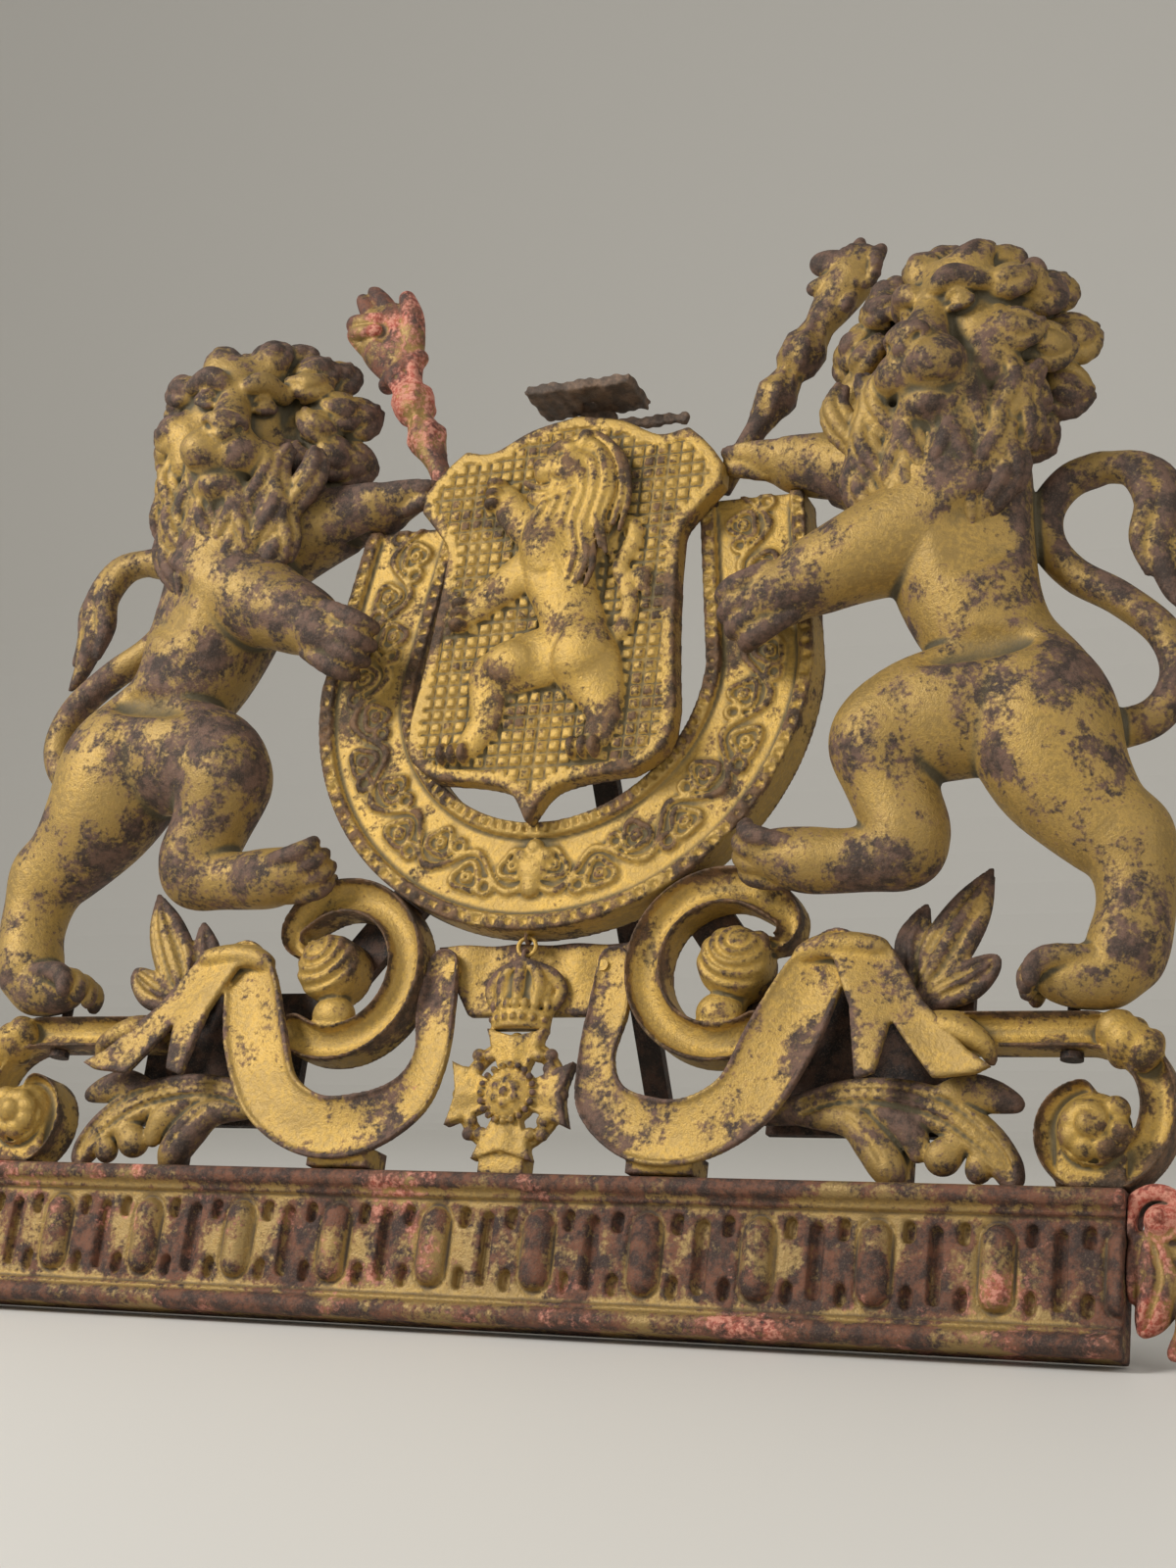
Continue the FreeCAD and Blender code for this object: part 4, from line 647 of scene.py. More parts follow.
def face(clay):
    """The lion's face on its head: skull, cheeks, heavy brow over sunk eyes, broad nose, two lip
    pads and chin. Places are lateral, forward and upward millimetres on the head."""
    def dab(place, radii, blend, side=1, carve=False):
        clay.ball(on_head(np.multiply([place], (side, 1, 1)))[0], radii, blend, HEAD_BASIS, carve)

    def stroke(rows, blend, side=1, carve=False):
        clay.limb(on_head(np.multiply(rows, (side, 1, 1, 1))), blend, carve=carve)

    dab((0, 4, 6), (33, 27, 37), 4.0)
    dab((0, 16, 30), (24, 14, 14), 6.0)
    for side in (-1, 1):
        # Cheek, socket, eyeball, brow, two lids, and the ear with its hollow
        dab((24, 14, -14), (13, 14, 17), 7.0, side)
        dab((16.5, 33, 11), (9, 9, 7), 3.0, side, carve=True)
        dab((16, 27.5, 11), (6.8, 6.4, 5.6), 0.8, side)
        stroke([(6, 36, 18, 3.8), (16, 34, 23, 4.8), (28, 23, 19, 3.6)], 4.0, side)
        stroke([(8.5, 32, 9.5, 1.5), (16, 33.5, 15, 1.9), (24, 28, 10.5, 1.4)], 0.9, side)
        stroke([(9, 32, 8, 1.4), (16, 32.5, 5.8, 1.8), (23.5, 28, 8.5, 1.4)], 0.9, side)
        dab((39, -2, 24), (9, 6, 12), 2.0, side)
        dab((38, 5, 23), (5, 5, 8), 1.5, side, carve=True)
    # Bridge of the nose and muzzle
    stroke([(0, 24, 24, 9.0), (0, 32, 8, 8.0), (0, 40, -10, 11.5)], 4.0)
    dab((0, 40, -24), (24, 17, 17), 6.0)
    for side in (-1, 1):
        # Lip pad, two sides of the nose, nostril and mouth
        dab((10.5, 46, -27), (14, 13, 12), 3.5, side)
        stroke([(0, 55, -9, 4.6), (9.5, 52.5, -10.5, 4.4)], 2.5, side)
        stroke([(9, 53.5, -12, 4.0), (0, 57.5, -20, 2.6)], 2.0, side)
        stroke([(10.5, 56.5, -14, 2.0), (4, 61, -18.5, 1.2)], 1.2, side, carve=True)
        stroke([(0, 56.5, -38, 1.6), (11, 52, -40, 2.0), (19, 43, -39, 1.4)], 1.6, side, carve=True)
    # Tip of the nose, the cleft below it and the chin
    dab((0, 55, -13), (7, 5, 6), 2.0)
    stroke([(0, 61, -22, 1.2), (0, 59.5, -37, 1.6)], 1.4, carve=True)
    dab((0, 39, -45), (13, 12, 8.5), 4.5)


# Scrolls and leaves

def band_face(off, half, depth, hollow):
    """Front of a hollowed band: deep at both rims and hollow between, by the square of the distance
    off its middle."""
    off = np.clip(off / half, 0.0, 1.0)
    rim = ramp(off, 0.72, 0.86)
    return -(depth - hollow * (1.0 - off ** 2) * (1.0 - rim) - 0.5 * hollow * (1.0 - rim))


def spiral_boss(clay, x, y, z, radius, rise, turns):
    """A snail boss: balls along a spiral that shrink and rise towards its middle, over a low
    dome."""
    clay.ball((x, y, z), (radius * 0.86, rise * 0.9, radius * 0.86), 2.0)
    for t in np.linspace(0.0, 1.0, 13):
        turn = 0.6 - t * turns * 2 * math.pi
        reach = radius * 0.66 * (1.0 - t)
        spot = (x + reach * math.cos(turn), y - rise * (0.45 + 0.5 * t), z + reach * math.sin(turn))
        clay.ball(spot, radius * (0.34 - 0.06 * t), 1.1)


def inner_scroll():
    """The inner scroll: a hollowed ring that ends in a small hook, with a snail boss and a ball on
    a stalk inside."""
    clay = Clay((54, -38, 128), (156, 3, 238), 1.15)
    hook_turn = math.radians(40)
    hook_x, hook_z = SCROLL_X + 31.0 * math.cos(hook_turn), SCROLL_Z + 31.0 * math.sin(hook_turn)
    path = np.vstack([arc(hook_x, hook_z, (8.0, 10.0), -130, 40, 24),
                      arc(SCROLL_X, SCROLL_Z, SCROLL_R, 44, 302, 70)])
    tip = 3.5

    def half_width(share):
        return tip + (SCROLL_BAND - tip) * ramp(share, 0.0, 0.2)

    def outline(x, z):
        near, share = along_path(path, x, z)
        return near - half_width(share)

    def front(x, z):
        near, share = along_path(path, x, z)
        return band_face(near, half_width(share),
                         SCROLL_DEPTH - 4.0 * (1.0 - ramp(share, 0.05, 0.25)), 5.5)

    clay.relief(outline, front, 0.0, 1.6)
    snail_x, snail_z, snail_r = SCROLL_X + 6.0, SCROLL_Z + 1.0, 18.5

    def shell(x, z):
        reach = np.hypot(x - snail_x, z - snail_z) / (snail_r + 1.0)
        dome = np.sqrt(np.clip(1.0 - reach ** 2, 0.0, 1.0))
        whorl = np.hypot(x - snail_x - 5.0, z - snail_z - 10.0)
        return -14.0 - 15.0 * dome + 1.1 * np.cos(2 * np.pi * whorl / 5.6) * ramp(whorl, 3.0, 6.0)

    clay.relief(lambda x, z: np.hypot(x - snail_x, z - snail_z) - snail_r, shell)
    clay.limb([(hook_x - 5, -15, hook_z - 9, 5.0), (snail_x + 10, -15, snail_z + 2, 6.5),
               (snail_x + 4, -16, snail_z - 6, 5.0)], 2.0)
    clay.limb([(SCROLL_X + 6, -8, SCROLL_Z - 8, 8), (SCROLL_X, -8, SCROLL_Z - 32, 6)], 3.0)
    clay.ball((SCROLL_X + 0.5, -14, SCROLL_Z - 24.7), (12.2, 9, 10.6), 1.0)
    clay.trim(lambda x, y, z: y + 0.05)
    return clay


def outer_scroll():
    """The outer scroll: a hollowed band that runs out, turns down and winds into a volute, with a
    bud on its turn."""
    clay = Clay((212, -38, 74), (340, 3, 161), 1.15)
    path = np.vstack([[(217, 149), (291, 149)], arc(291, 113, 36, 88, -70, 50),
                      arc(VOLUTE_X, VOLUTE_Z + 1, (26.0, 16.0), -75, -250, 40)])

    def half_width(share):
        return 8.6 - 2.6 * ramp(share, 0.55, 0.95)

    def outline(x, z):
        near, share = along_path(path, x, z)
        return np.maximum(near - half_width(share), z - LION_FOOT + 0.4)

    def front(x, z):
        near, share = along_path(path, x, z)
        return band_face(near, half_width(share), SCROLL_DEPTH, 5.0)

    clay.relief(outline, front, 0.0, 1.6)
    spiral_boss(clay, VOLUTE_X, -13, VOLUTE_Z, 20, 16, 1.5)
    clay.block(VOLUTE_X, 86, 16, 10.6, 18.0)
    for x, z, long, wide in ((312, 143, 15, 9), (320, 139, 12, 8), (306, 149, 11, 7.5)):
        clay.limb([(x - 4, -14, z - 6, wide * 0.6), (x, -20, z, wide),
                   (x + 4, -18, z + long * 0.45, wide * 0.5)], 1.6)
    curl = [(219, -14, 150, 9), (232, -21, 148, 7.5), (246, -23, 141, 4.5), (250, -20, 133, 2)]
    clay.limb(curl, 2.0)
    clay.trim(lambda x, y, z: np.maximum(np.maximum(y + 0.05, z - LION_FOOT + 0.35), RAIL_TOP - z))
    return clay


# Lobes of the leaf along the rail, the stem first: across, up and radius
ACANTHUS_LOBES = (((137, 110, 6), (156, 113, 7.5), (177, 119, 8), (203, 118, 9.5), (226, 111, 10.5),
                   (244, 99, 10), (255, 88, 8), (259, 81, 6)),
                  ((216, 112, 8), (235, 121, 8.5), (247, 119.5, 8), (256, 117, 5.5),
                   (260, 115.5, 3.5)),
                  ((156, 110, 6), (180, 107, 8), (192, 96, 9.5), (199, 86, 9), (202, 81, 6)),
                  ((240, 101, 6), (231, 95, 7), (226, 90, 9)),
                  ((246, 94, 6), (244, 88, 6.5), (243, 84, 6)),
                  ((196, 112, 7), (208, 104, 8), (213, 96, 6), (214, 91, 4)))


def acanthus():
    """The lobed leaf along the rail: a stem and tapering lobes laid side by side, each with a sunk
    vein."""
    clay = Clay((130, -26, 74), (267, 3, 134), 1.15)
    for k, lobe in enumerate(ACANTHUS_LOBES):
        clay.limb([(x, -8.0 - (k % 2), z, r) for x, z, r in lobe], 0.9, 0.85)
    for off in (-0.5, 0.0, 0.45):
        rise = 0.85 * math.sqrt(1 - off * off)
        vein = [(x, -8.0 - rise * r, z + off * r, 0.16 * r + 0.3)
                for x, z, r in ACANTHUS_LOBES[0][1:]]
        clay.limb(vein, 1.2, carve=True)
    vein = [(x, -9.0 - 0.85 * r, z, 0.14 * r + 0.4) for x, z, r in ACANTHUS_LOBES[2][1:-1]]
    clay.limb(vein, 1.2, carve=True)
    clay.block(202, 90, 9, 14.6, 6.0)
    clay.trim(lambda x, y, z: np.maximum(y + 0.05, RAIL_TOP - z))
    return clay


def leaf_spray():
    """The upright spray: pointed leaves that swell and narrow, each ridged along its middle between
    two hollows."""
    clay = Clay((188, -20, 156), (256, 3, 240), 1.1)
    for deep, leaf in ((-7, [(208, 166, 6), (219, 189, 12.5), (231, 211, 11), (241, 232, 2)]),
                       (-5, [(204, 172, 6), (203, 195, 8.5), (206, 206, 6), (209, 215, 2)]),
                       (-8, [(216, 168, 7), (231, 175, 10), (241, 182, 7), (246, 187, 2)])):
        clay.limb([(x, deep, z, r) for x, z, r in leaf], 1.2, 0.5)
        for side in (-1, 1):
            hollow = [(x + side * 0.42 * r, deep - 0.56 * r, z - side * 0.18 * r, 0.24 * r)
                      for x, z, r in leaf]
            clay.limb(hollow, 1.4, carve=True)
    clay.trim(lambda x, y, z: np.maximum(y + 0.4, LION_FOOT + 0.1 - z))
    return clay


# Ribbons

# The ribbon's two edges at stations down from the collar: inner x, z, outer x, z, and depth
RIBBON_EDGES = [(58, 187, 40, 187, -14.5), (61, 164, 38, 164, -15), (57, 138, 37, 134, -18),
                (66, 120, 44, 104, -24), (84, 113, 72, 82, -28.8), (104, 113, 108, 80, -30),
                (122, 126, 142, 98, -30), (132, 153, 163, 131, -29), (146, 183, 174, 166, -24),
                (156, 191, 182, 184, -20)]
TAIL_EDGE = [(152, 187), (162, 194), (189, 196.5), (199, 190), (216, 163), (241, 137), (254, 128),
             (246, 124), (224, 122), (211, 138), (202, 150), (198, 124), (187, 120), (180, 158),
             (169, 183)]


def ribbon():
    """One side's ribbon: a band with corded edges along a hanging curve, rolled over at its top
    into a cut tail. The band's depth and half width are read along the curve, and its face dishes a
    little between the edges."""
    clay = Clay((32, -40, 74), (258, -1, 201), 1.15)
    rows = smooth_path(RIBBON_EDGES, 90)
    path = (rows[:, 0:2] + rows[:, 2:4]) / 2
    half = np.hypot(rows[:, 0] - rows[:, 2], rows[:, 1] - rows[:, 3]) / 2
    passed = np.concatenate([[0.0], np.cumsum(np.hypot(*np.diff(path, axis=0).T))])
    passed = passed / passed[-1]

    def outline(x, z):
        near, share = along_path(path, x, z)
        return near - np.interp(share, passed, half) + 0.3

    def front(x, z):
        near, share = along_path(path, x, z)
        off = np.clip(near / np.interp(share, passed, half), 0.0, 1.2)
        cord = 1.3 * ramp(off, 0.78, 0.88) + 1.2 * (1 - off) * np.sin(4.0 * np.pi * share)
        return np.interp(share, passed, rows[:, 4]) + 0.6 + 2.0 * (1 - off ** 2) - cord

    def tail_front(x, z):
        return -21.5 - 0.15 * (196 - z) - 1.6 * np.sin((x - 170) * 0.1 + (z - 150) * 0.05)

    clay.relief(outline, front, blend=1.4, thick=5.2)
    tail = np.array(TAIL_EDGE, float)
    clay.relief(lambda x, z: inside_of(tail, x, z) + 0.8, tail_front, blend=1.6, join=2.0,
                thick=5.0)
    clay.limb([(153, -20, 187, 4.5), (163, -20, 190.5, 5.5), (178, -20, 191.5, 5.5),
               (192, -20, 190, 4.5)], 2.0)
    clay.block(89.6, 81.4, 17.5, 5.6, 24.0, -1.2, 1.5)
    clay.trim(lambda x, y, z: RAIL_TOP - z)
    return clay


def ribbon_centre():
    """The middle fold: a tapering cloth between collar and rail badge, in soft upright waves."""
    clay = Clay((-64, -14, 156), (64, 3, 208), 1.2)
    edge = np.array([(-59, 200), (-34.5, 160.5), (34.5, 160.5), (59, 200)], float)

    def outline(x, z):
        off_collar = np.hypot(x, z - COLLAR_Z) - COLLAR_OUTER - 0.5
        off_scroll = np.hypot(np.abs(x) - SCROLL_X, z - SCROLL_Z) - SCROLL_R - SCROLL_BAND - 0.8
        return np.maximum(inside_of(edge, x, z) + 0.4, -np.minimum(off_collar, off_scroll))

    clay.relief(outline, lambda x, z: -6.4 + 1.5 * np.sin(x / 5.2) * ramp(z, 160, 190), 0.0, 1.5)
    return clay


# Badge, collar and shield

def badge():
    """The badge: a flared cross over a beaded wreath, a boss with a plain rosette, and a small
    arched crown."""
    clay = Clay((-40, -28, 73), (40, 3, 196), 0.95)
    arms = []
    for turn in range(4):
        c, d = math.cos(turn * math.pi / 2), math.sin(turn * math.pi / 2)
        for x, z in ((6, 7), (17.5, 35), (0, 30), (-17.5, 35), (-6, 7)):
            arms.append((x * c + z * d, BADGE_Z - x * d + z * c))
    arms = np.array(arms)

    def reach(x, z):
        return np.hypot(x, z - BADGE_Z)

    def rayed(x, z):
        return -15.2 - 0.06 * reach(x, z) - 0.8 * np.cos(8 * np.arctan2(x, z - BADGE_Z))

    def beads(count, ring, depth, radii, blend):
        for k in range(count):
            turn = 2 * math.pi * k / count
            out = ring[k % len(ring)]
            clay.ball((out * math.sin(turn), -depth, BADGE_Z + out * math.cos(turn)), radii, blend)

    clay.relief(lambda x, z: inside_of(arms, x, z) + 0.3, rayed, BADGE_BACK, 1.2)
    clay.relief(lambda x, z: np.abs(reach(x, z) - 26.5) - 4.0, lambda x, z: -12.0, BADGE_BACK, 1.2)
    beads(32, (29.0, 24.5), 13.2, (3.6, 3.2, 3.6), 0.9)
    clay.relief(lambda x, z: reach(x, z) - 15, lambda x, z: -14.0, BADGE_BACK, 1.0)
    clay.ball((0, -16, BADGE_Z), (13, 4, 13), 0.8)
    beads(20, (14.6,), 17.6, 1.9, 0.6)
    beads(6, (5.6,), 19.6, (2.9, 1.8, 2.9), 0.6)
    clay.ball((0, -20.3, BADGE_Z), 2.6, 0.6)
    clay.block(0, 81, 12.5, 5.6, 15.0, -0.8, 1.2)
    # Crown: band with pearls and points, five arches over a cap, and the eye on top
    clay.relief(lambda x, z: np.maximum(np.abs(x) - 16 - 0.12 * (z - 151), np.abs(z - 156) - 5.0),
                lambda x, z: -21.0 + 0.03 * x ** 2, BADGE_BACK, 1.2)
    for x in range(-15, 16, 5):
        clay.ball((x, -21.4 + 0.03 * x ** 2, 156), 1.9, 0.6)
        clay.ball((x, -20.6 + 0.03 * x ** 2, 163.4), (2.4, 2.0, 3.0), 0.8)
    for x in (-18, -9.5, 0, 9.5, 18):
        clay.limb([(0.8 * x, -17 + 0.02 * x ** 2, 161, 2.6),
                   (1.12 * x, -19 + 0.03 * x ** 2, 172, 3.0),
                   (0.85 * x, -18.5 + 0.02 * x ** 2, 181, 2.8), (0.2 * x, -16.5, 185.5, 2.2)], 1.2)
    clay.ball((0, -13.5, 172), (17, 5, 12), 1.5)
    clay.ball((0, EYE_Y, 186), (4.2, 4.0, 3.2), 1.2)
    clay.eye(190)
    clay.trim(lambda x, y, z: np.maximum(np.maximum(-23.2 - y, y + 0.8), RAIL_TOP - z))
    return clay


def collar_place(x, z):
    """Distance round the collar from its lowest point, and off the middle of its band: a half ring,
    then leaning legs."""
    lower = np.arctan2(np.abs(x), np.maximum(COLLAR_Z - z, 1e-6))
    middle = (COLLAR_OUTER + COLLAR_INNER) / 2
    on = np.where(z < COLLAR_Z, middle * lower, middle * math.pi / 2 + z - COLLAR_Z)
    off = np.where(z < COLLAR_Z, np.hypot(x, z - COLLAR_Z),
                   np.abs(x) + (z - COLLAR_Z) * LEG_IN) - middle
    return on, off


# Pitch of the collar's rim studs and of its foliage
STUD_PITCH, LEAF_PITCH = 7.6, 50.0


def collar_face(x, z):
    """Front of the collar: flat band, studded rims, and low foliage: a waving stem with a ring curl
    in each bend."""
    on, off = collar_place(x, z)
    from_middle = np.abs(off)
    rise = COLLAR_DEPTH - 0.6 + RIM_RISE * ramp(from_middle, 20.5, 22.5)
    rise = rise - 1.6 * ramp(from_middle, 23.5, 24.5) * ramp(-from_middle, -28.5, -27.5)
    stud = ((on / STUD_PITCH) % 1.0 - 0.5) * STUD_PITCH
    dome = np.clip(1.0 - (stud / 2.9) ** 2 - ((from_middle - 26.0) / 2.6) ** 2, 0.0, 1.0)
    rise = rise + 2.4 * np.sqrt(dome)
    stem = np.abs(off - 9.0 * np.sin(2 * np.pi * on / LEAF_PITCH))
    leafage = ramp(-stem, -3.0, -1.2)
    for half, middle in ((0.0, -5.5), (0.5, 5.5)):
        along = ((on / LEAF_PITCH + 0.25 + half) % 1.0 - 0.5) * LEAF_PITCH
        reach = np.hypot(along, off - middle)
        turn = np.arctan2(off - middle, along)
        sprig = np.hypot(along - 13, off + middle * 1.5)
        curl = reach - 7.5 - 1.2 * np.sin(3 * turn)
        for line, start, end in ((curl, -2.4, -0.9), (reach - 2.2, -1.9, -0.6),
                                 (sprig - 4.0, -2.0, -0.8)):
            leafage = np.maximum(leafage, ramp(-np.abs(line), start, end))
    return -(rise + 2.3 * leafage * ramp(-from_middle, -20.5, -18.5))


def collar():
    """The collar: band outline and face, a small buckle below, and the eye for the ring."""
    clay = Clay((-149, -30, 194), (149, 3, 449), 1.25)
    half_band = (COLLAR_OUTER - COLLAR_INNER) / 2 - 0.3

    def outline(x, z):
        off = collar_place(x, z)[1]
        return np.maximum(np.abs(off) - half_band, z - COLLAR_Z - COLLAR_LEG + 0.3)

    clay.relief(outline, collar_face, 0.0, 1.2)
    for x, z, r in ((0, 236, 9), (-7, 243, 5), (7, 243, 5), (0, 226, 6), (0, 248, 5)):
        clay.ball((x, -20, z), (r, 4.5, r), 1.0)
    clay.eye(200)
    clay.trim(lambda x, y, z: np.maximum(np.where(np.abs(x) < 93, -24.0 - y, -28.0 - y), y + 0.05))
    return clay


# Right half of the shield's outline, in runs between its corners: shares of half width and height
SHIELD_EDGE = [[(0.0, 1.0), (0.3, 0.975), (0.55, 0.928), (0.74, 0.938)],
               [(0.74, 0.938), (0.9, 0.88), (1.0, 0.8), (0.8, 0.705), (0.76, 0.64), (0.8, 0.4),
                (0.85, 0.24), (0.8, 0.155), (0.62, 0.11)],
               [(0.62, 0.11), (0.3, 0.095), (0.12, 0.07), (0.0, 0.0)]]
# The shield's lion: across, up and radius by the shield's height; then the strands of its mane,
# from the brow down
FIGURE = [[(-0.01, 0.7, 0.088), (0.0, 0.62, 0.09), (0.035, 0.52, 0.072), (0.07, 0.43, 0.076)],
          [(0.07, 0.42, 0.07), (0.1, 0.37, 0.078), (0.14, 0.3, 0.055), (0.157, 0.24, 0.037),
           (0.15, 0.19, 0.032)],
          [(0.05, 0.4, 0.07), (-0.05, 0.375, 0.068), (-0.125, 0.352, 0.055)],
          [(-0.128, 0.352, 0.05), (-0.128, 0.29, 0.041), (-0.125, 0.245, 0.035),
           (-0.155, 0.185, 0.032)],
          [(-0.05, 0.69, 0.05), (-0.115, 0.745, 0.041), (-0.16, 0.8, 0.033)],
          [(-0.03, 0.635, 0.055), (-0.12, 0.575, 0.045), (-0.205, 0.512, 0.034)],
          [(0.1, 0.425, 0.02), (0.165, 0.43, 0.019), (0.19, 0.485, 0.018), (0.175, 0.55, 0.018),
           (0.155, 0.6, 0.018), (0.18, 0.655, 0.018), (0.168, 0.7, 0.017), (0.132, 0.695, 0.016),
           (0.122, 0.64, 0.012)],
          [(0.178, 0.56, 0.015), (0.208, 0.572, 0.016), (0.213, 0.542, 0.01)],
          [(0.05, 0.85, 0.072), (0.08, 0.77, 0.068), (0.06, 0.67, 0.06), (0.05, 0.6, 0.04)]]
STRANDS = [[(0.0, 0.9), (0.06, 0.922), (0.125, 0.87), (0.15, 0.775), (0.138, 0.69)],
           [(0.02, 0.885), (0.08, 0.885), (0.115, 0.8), (0.1, 0.71), (0.118, 0.63)],
           [(0.035, 0.865), (0.08, 0.835), (0.085, 0.755), (0.07, 0.68), (0.09, 0.61),
            (0.078, 0.555)],
           [(0.045, 0.835), (0.06, 0.775), (0.045, 0.7), (0.06, 0.625), (0.05, 0.565)],
           [(0.035, 0.77), (0.022, 0.71), (0.005, 0.645), (0.02, 0.575)],
           [(0.0, 0.755), (-0.02, 0.7), (-0.035, 0.65), (-0.02, 0.6)],
           [(-0.03, 0.745), (-0.055, 0.7), (-0.06, 0.65)]]


def shield():
    """The shield: a rimmed field of small raised squares, and a rearing lion in relief with a
    curled mane. Places on it are shares of its height, across and up from its foot, and lifts are
    millimetres off its front."""
    clay = Clay((-96, -54, 253), (96, -22, 502), 1.15)
    half = np.vstack([smooth_path(part, 16)[:-1] for part in SHIELD_EDGE] + [[(0.0, 0.0)]])
    edge = np.vstack([half, half[-2:0:-1] * (-1, 1)]) * (SHIELD_HALF - 0.5, SHIELD_HEIGHT - 0.5)
    edge = edge + (0, SHIELD_FOOT + 0.3)
    square = 7.2

    def front(x, z):
        depth = -inside_of(edge, x, z)
        ridge = np.maximum(np.abs((x / square) % 1.0 - 0.5),
                           np.abs((z / square) % 1.0 - 0.5)) * square
        field = 1.7 - 1.9 * ramp(-ridge, -square * 0.44, -square * 0.3)
        return SHIELD_FRONT + 0.4 + field * ramp(depth, 6.0, 7.5)

    def dab(x, z, lift, radii, blend, carve=False):
        place = (x * SHIELD_HEIGHT, SHIELD_FRONT - lift, SHIELD_FOOT + z * SHIELD_HEIGHT)
        clay.ball(place, radii, blend, carve=carve)

    def stroke(stations, lift, blend, flat=1.0, carve=False):
        x, z, r = np.array(stations, float).T * SHIELD_HEIGHT
        rows = np.column_stack([x, np.full(x.size, SHIELD_FRONT - lift), SHIELD_FOOT + z, r])
        clay.limb(rows, blend, flat, carve=carve)

    clay.relief(lambda x, z: inside_of(edge, x, z), front, SHIELD_BACK - 0.1, 2.2)
    for stations in FIGURE:
        stroke(stations, 0.0, 2.0, 0.5)
    # Chest, haunch and raised thigh, and the creases between them
    dab(-0.02, 0.65, 5.0, (15, 9, 18), 2.5)
    dab(0.09, 0.39, 5.0, (18, 9, 19), 2.5)
    dab(-0.07, 0.37, 5.0, (17, 8, 13), 2.5)
    for crease in ([(-0.06, 0.435), (0.0, 0.44), (0.03, 0.46)],
                   [(0.03, 0.33), (0.025, 0.38), (0.045, 0.43)],
                   [(-0.06, 0.585), (-0.03, 0.57), (0.01, 0.575)],
                   [(0.03, 0.5), (0.06, 0.52), (0.085, 0.5)]):
        stroke([(x, z, 0.008) for x, z in crease], 12.5, 3.0, carve=True)
    # Toes: one above the other on the forepaws, side by side on the feet
    for x, z in ((-0.165, 0.805), (-0.212, 0.505)):
        for step in (-0.026, 0.0, 0.026):
            dab(x - 0.012, z + step, 0.0, (6.4, 8.5, 3.8), 0.9)
    for x, z in ((-0.178, 0.165), (0.135, 0.165)):
        for step in (-0.026, 0.0, 0.026):
            dab(x + step - 0.012, z, 0.0, (3.8, 8.5, 6.4), 0.9)
    for k, strand in enumerate(STRANDS):
        thick = 0.7 * np.linspace(0.021, 0.008, len(strand))
        sunk = 3.0 if k == 0 else 0.0
        for shift, lift in ((0.0, 9.5), (0.013, 8.0), (-0.013, 8.0)):
            stroke([(x + shift, z - abs(shift), r) for (x, z), r in zip(strand, thick)],
                   lift - sunk, 0.8)
    # Head: skull, muzzle, jaw, tongue, nose, mouth, brow, eye and ear
    dab(0.02, 0.835, 6.0, (14, 9, 14), 2.0)
    stroke([(0.02, 0.85, 0.046), (-0.02, 0.845, 0.036), (-0.048, 0.838, 0.027)], 5.0, 2.0, 0.9)
    stroke([(0.015, 0.775, 0.032), (-0.035, 0.766, 0.022), (-0.078, 0.787, 0.013)], 4.0, 1.5, 0.9)
    stroke([(0.0, 0.795, 0.012), (-0.05, 0.795, 0.01), (-0.092, 0.815, 0.007)], 7.0, 0.8)
    dab(-0.056, 0.852, 7.5, (5, 5, 4.5), 1.0)
    stroke([(-0.09, 0.812, 0.009), (-0.03, 0.81, 0.01), (0.005, 0.8, 0.006)], 13.0, 1.2, carve=True)
    stroke([(-0.03, 0.88, 0.011), (0.0, 0.893, 0.014), (0.03, 0.878, 0.01)], 10.5, 1.2)
    dab(-0.004, 0.868, 14.5, (3.4, 2.6, 2.2), 0.8, True)
    dab(0.05, 0.905, 10.0, (4.5, 4, 6), 1.2)
    clay.trim(lambda x, y, z: SHIELD_FRONT - 16.0 - y)
    return clay


# Rail

def rail_face(x, z):
    """Front of the rail by height: lower bead, fillet, frieze, fillet, top bead; pills, slots and
    notches repeat."""
    def bead(foot):
        return 23.0 + 5.0 * np.sqrt(np.clip(1.0 - ((z - foot - 5.0) / 5.0) ** 2, 0.0, 1.0))

    up = np.abs(z - RAIL_MIDDLE)
    frieze = np.where(up > 24.5, 23.0, 20.0)
    depth = np.where(z < 10.0, bead(0.0), np.where(z > 65.0, bead(65.0), frieze))
    pill = np.abs((x / PILL_PITCH + PILL_COUNT / 2) % 1.0 - 0.5) * PILL_PITCH
    pill = np.hypot(pill, np.maximum(up - 12.0, 0.0))
    depth = depth + 7.0 * np.sqrt(np.clip(1.0 - (pill / 8.0) ** 2, 0.0, 1.0))
    depth = depth - 1.2 * ramp(-pill, -10.5, -9.0)
    bay = PILL_PITCH / 2 - np.abs((x / PILL_PITCH) % 1.0 - 0.5) * PILL_PITCH
    inside = np.abs(x) < RAIL_HALF - 10
    slot = np.hypot(bay, np.maximum(up - 15.0, 0.0))
    notch = np.hypot(bay - 13.0, np.maximum(np.abs(up - 15.0) - 2.5, 0.0))
    sunk = ramp(-slot, -3.6, -2.4) + ramp(-notch, -3.2, -2.0)
    return -(depth - 4.8 * sunk * inside)


def rail():
    """The rail: its face, a square outline and the pocket behind."""
    clay = Clay((-317, -32, -2), (317, 3, 78), 1.4)

    def outline(x, z):
        return np.maximum(np.abs(x) - RAIL_HALF + 0.1, np.abs(z - RAIL_MIDDLE) - RAIL_MIDDLE + 0.1)

    def pocket(x, y, z):
        opening = np.maximum(np.abs(x) - 307, np.abs(z - RAIL_MIDDLE) - 30.5)
        return -np.maximum(opening, -13.0 - y)

    clay.relief(outline, rail_face, 0.0, 1.0)
    clay.trim(pocket)
    return clay


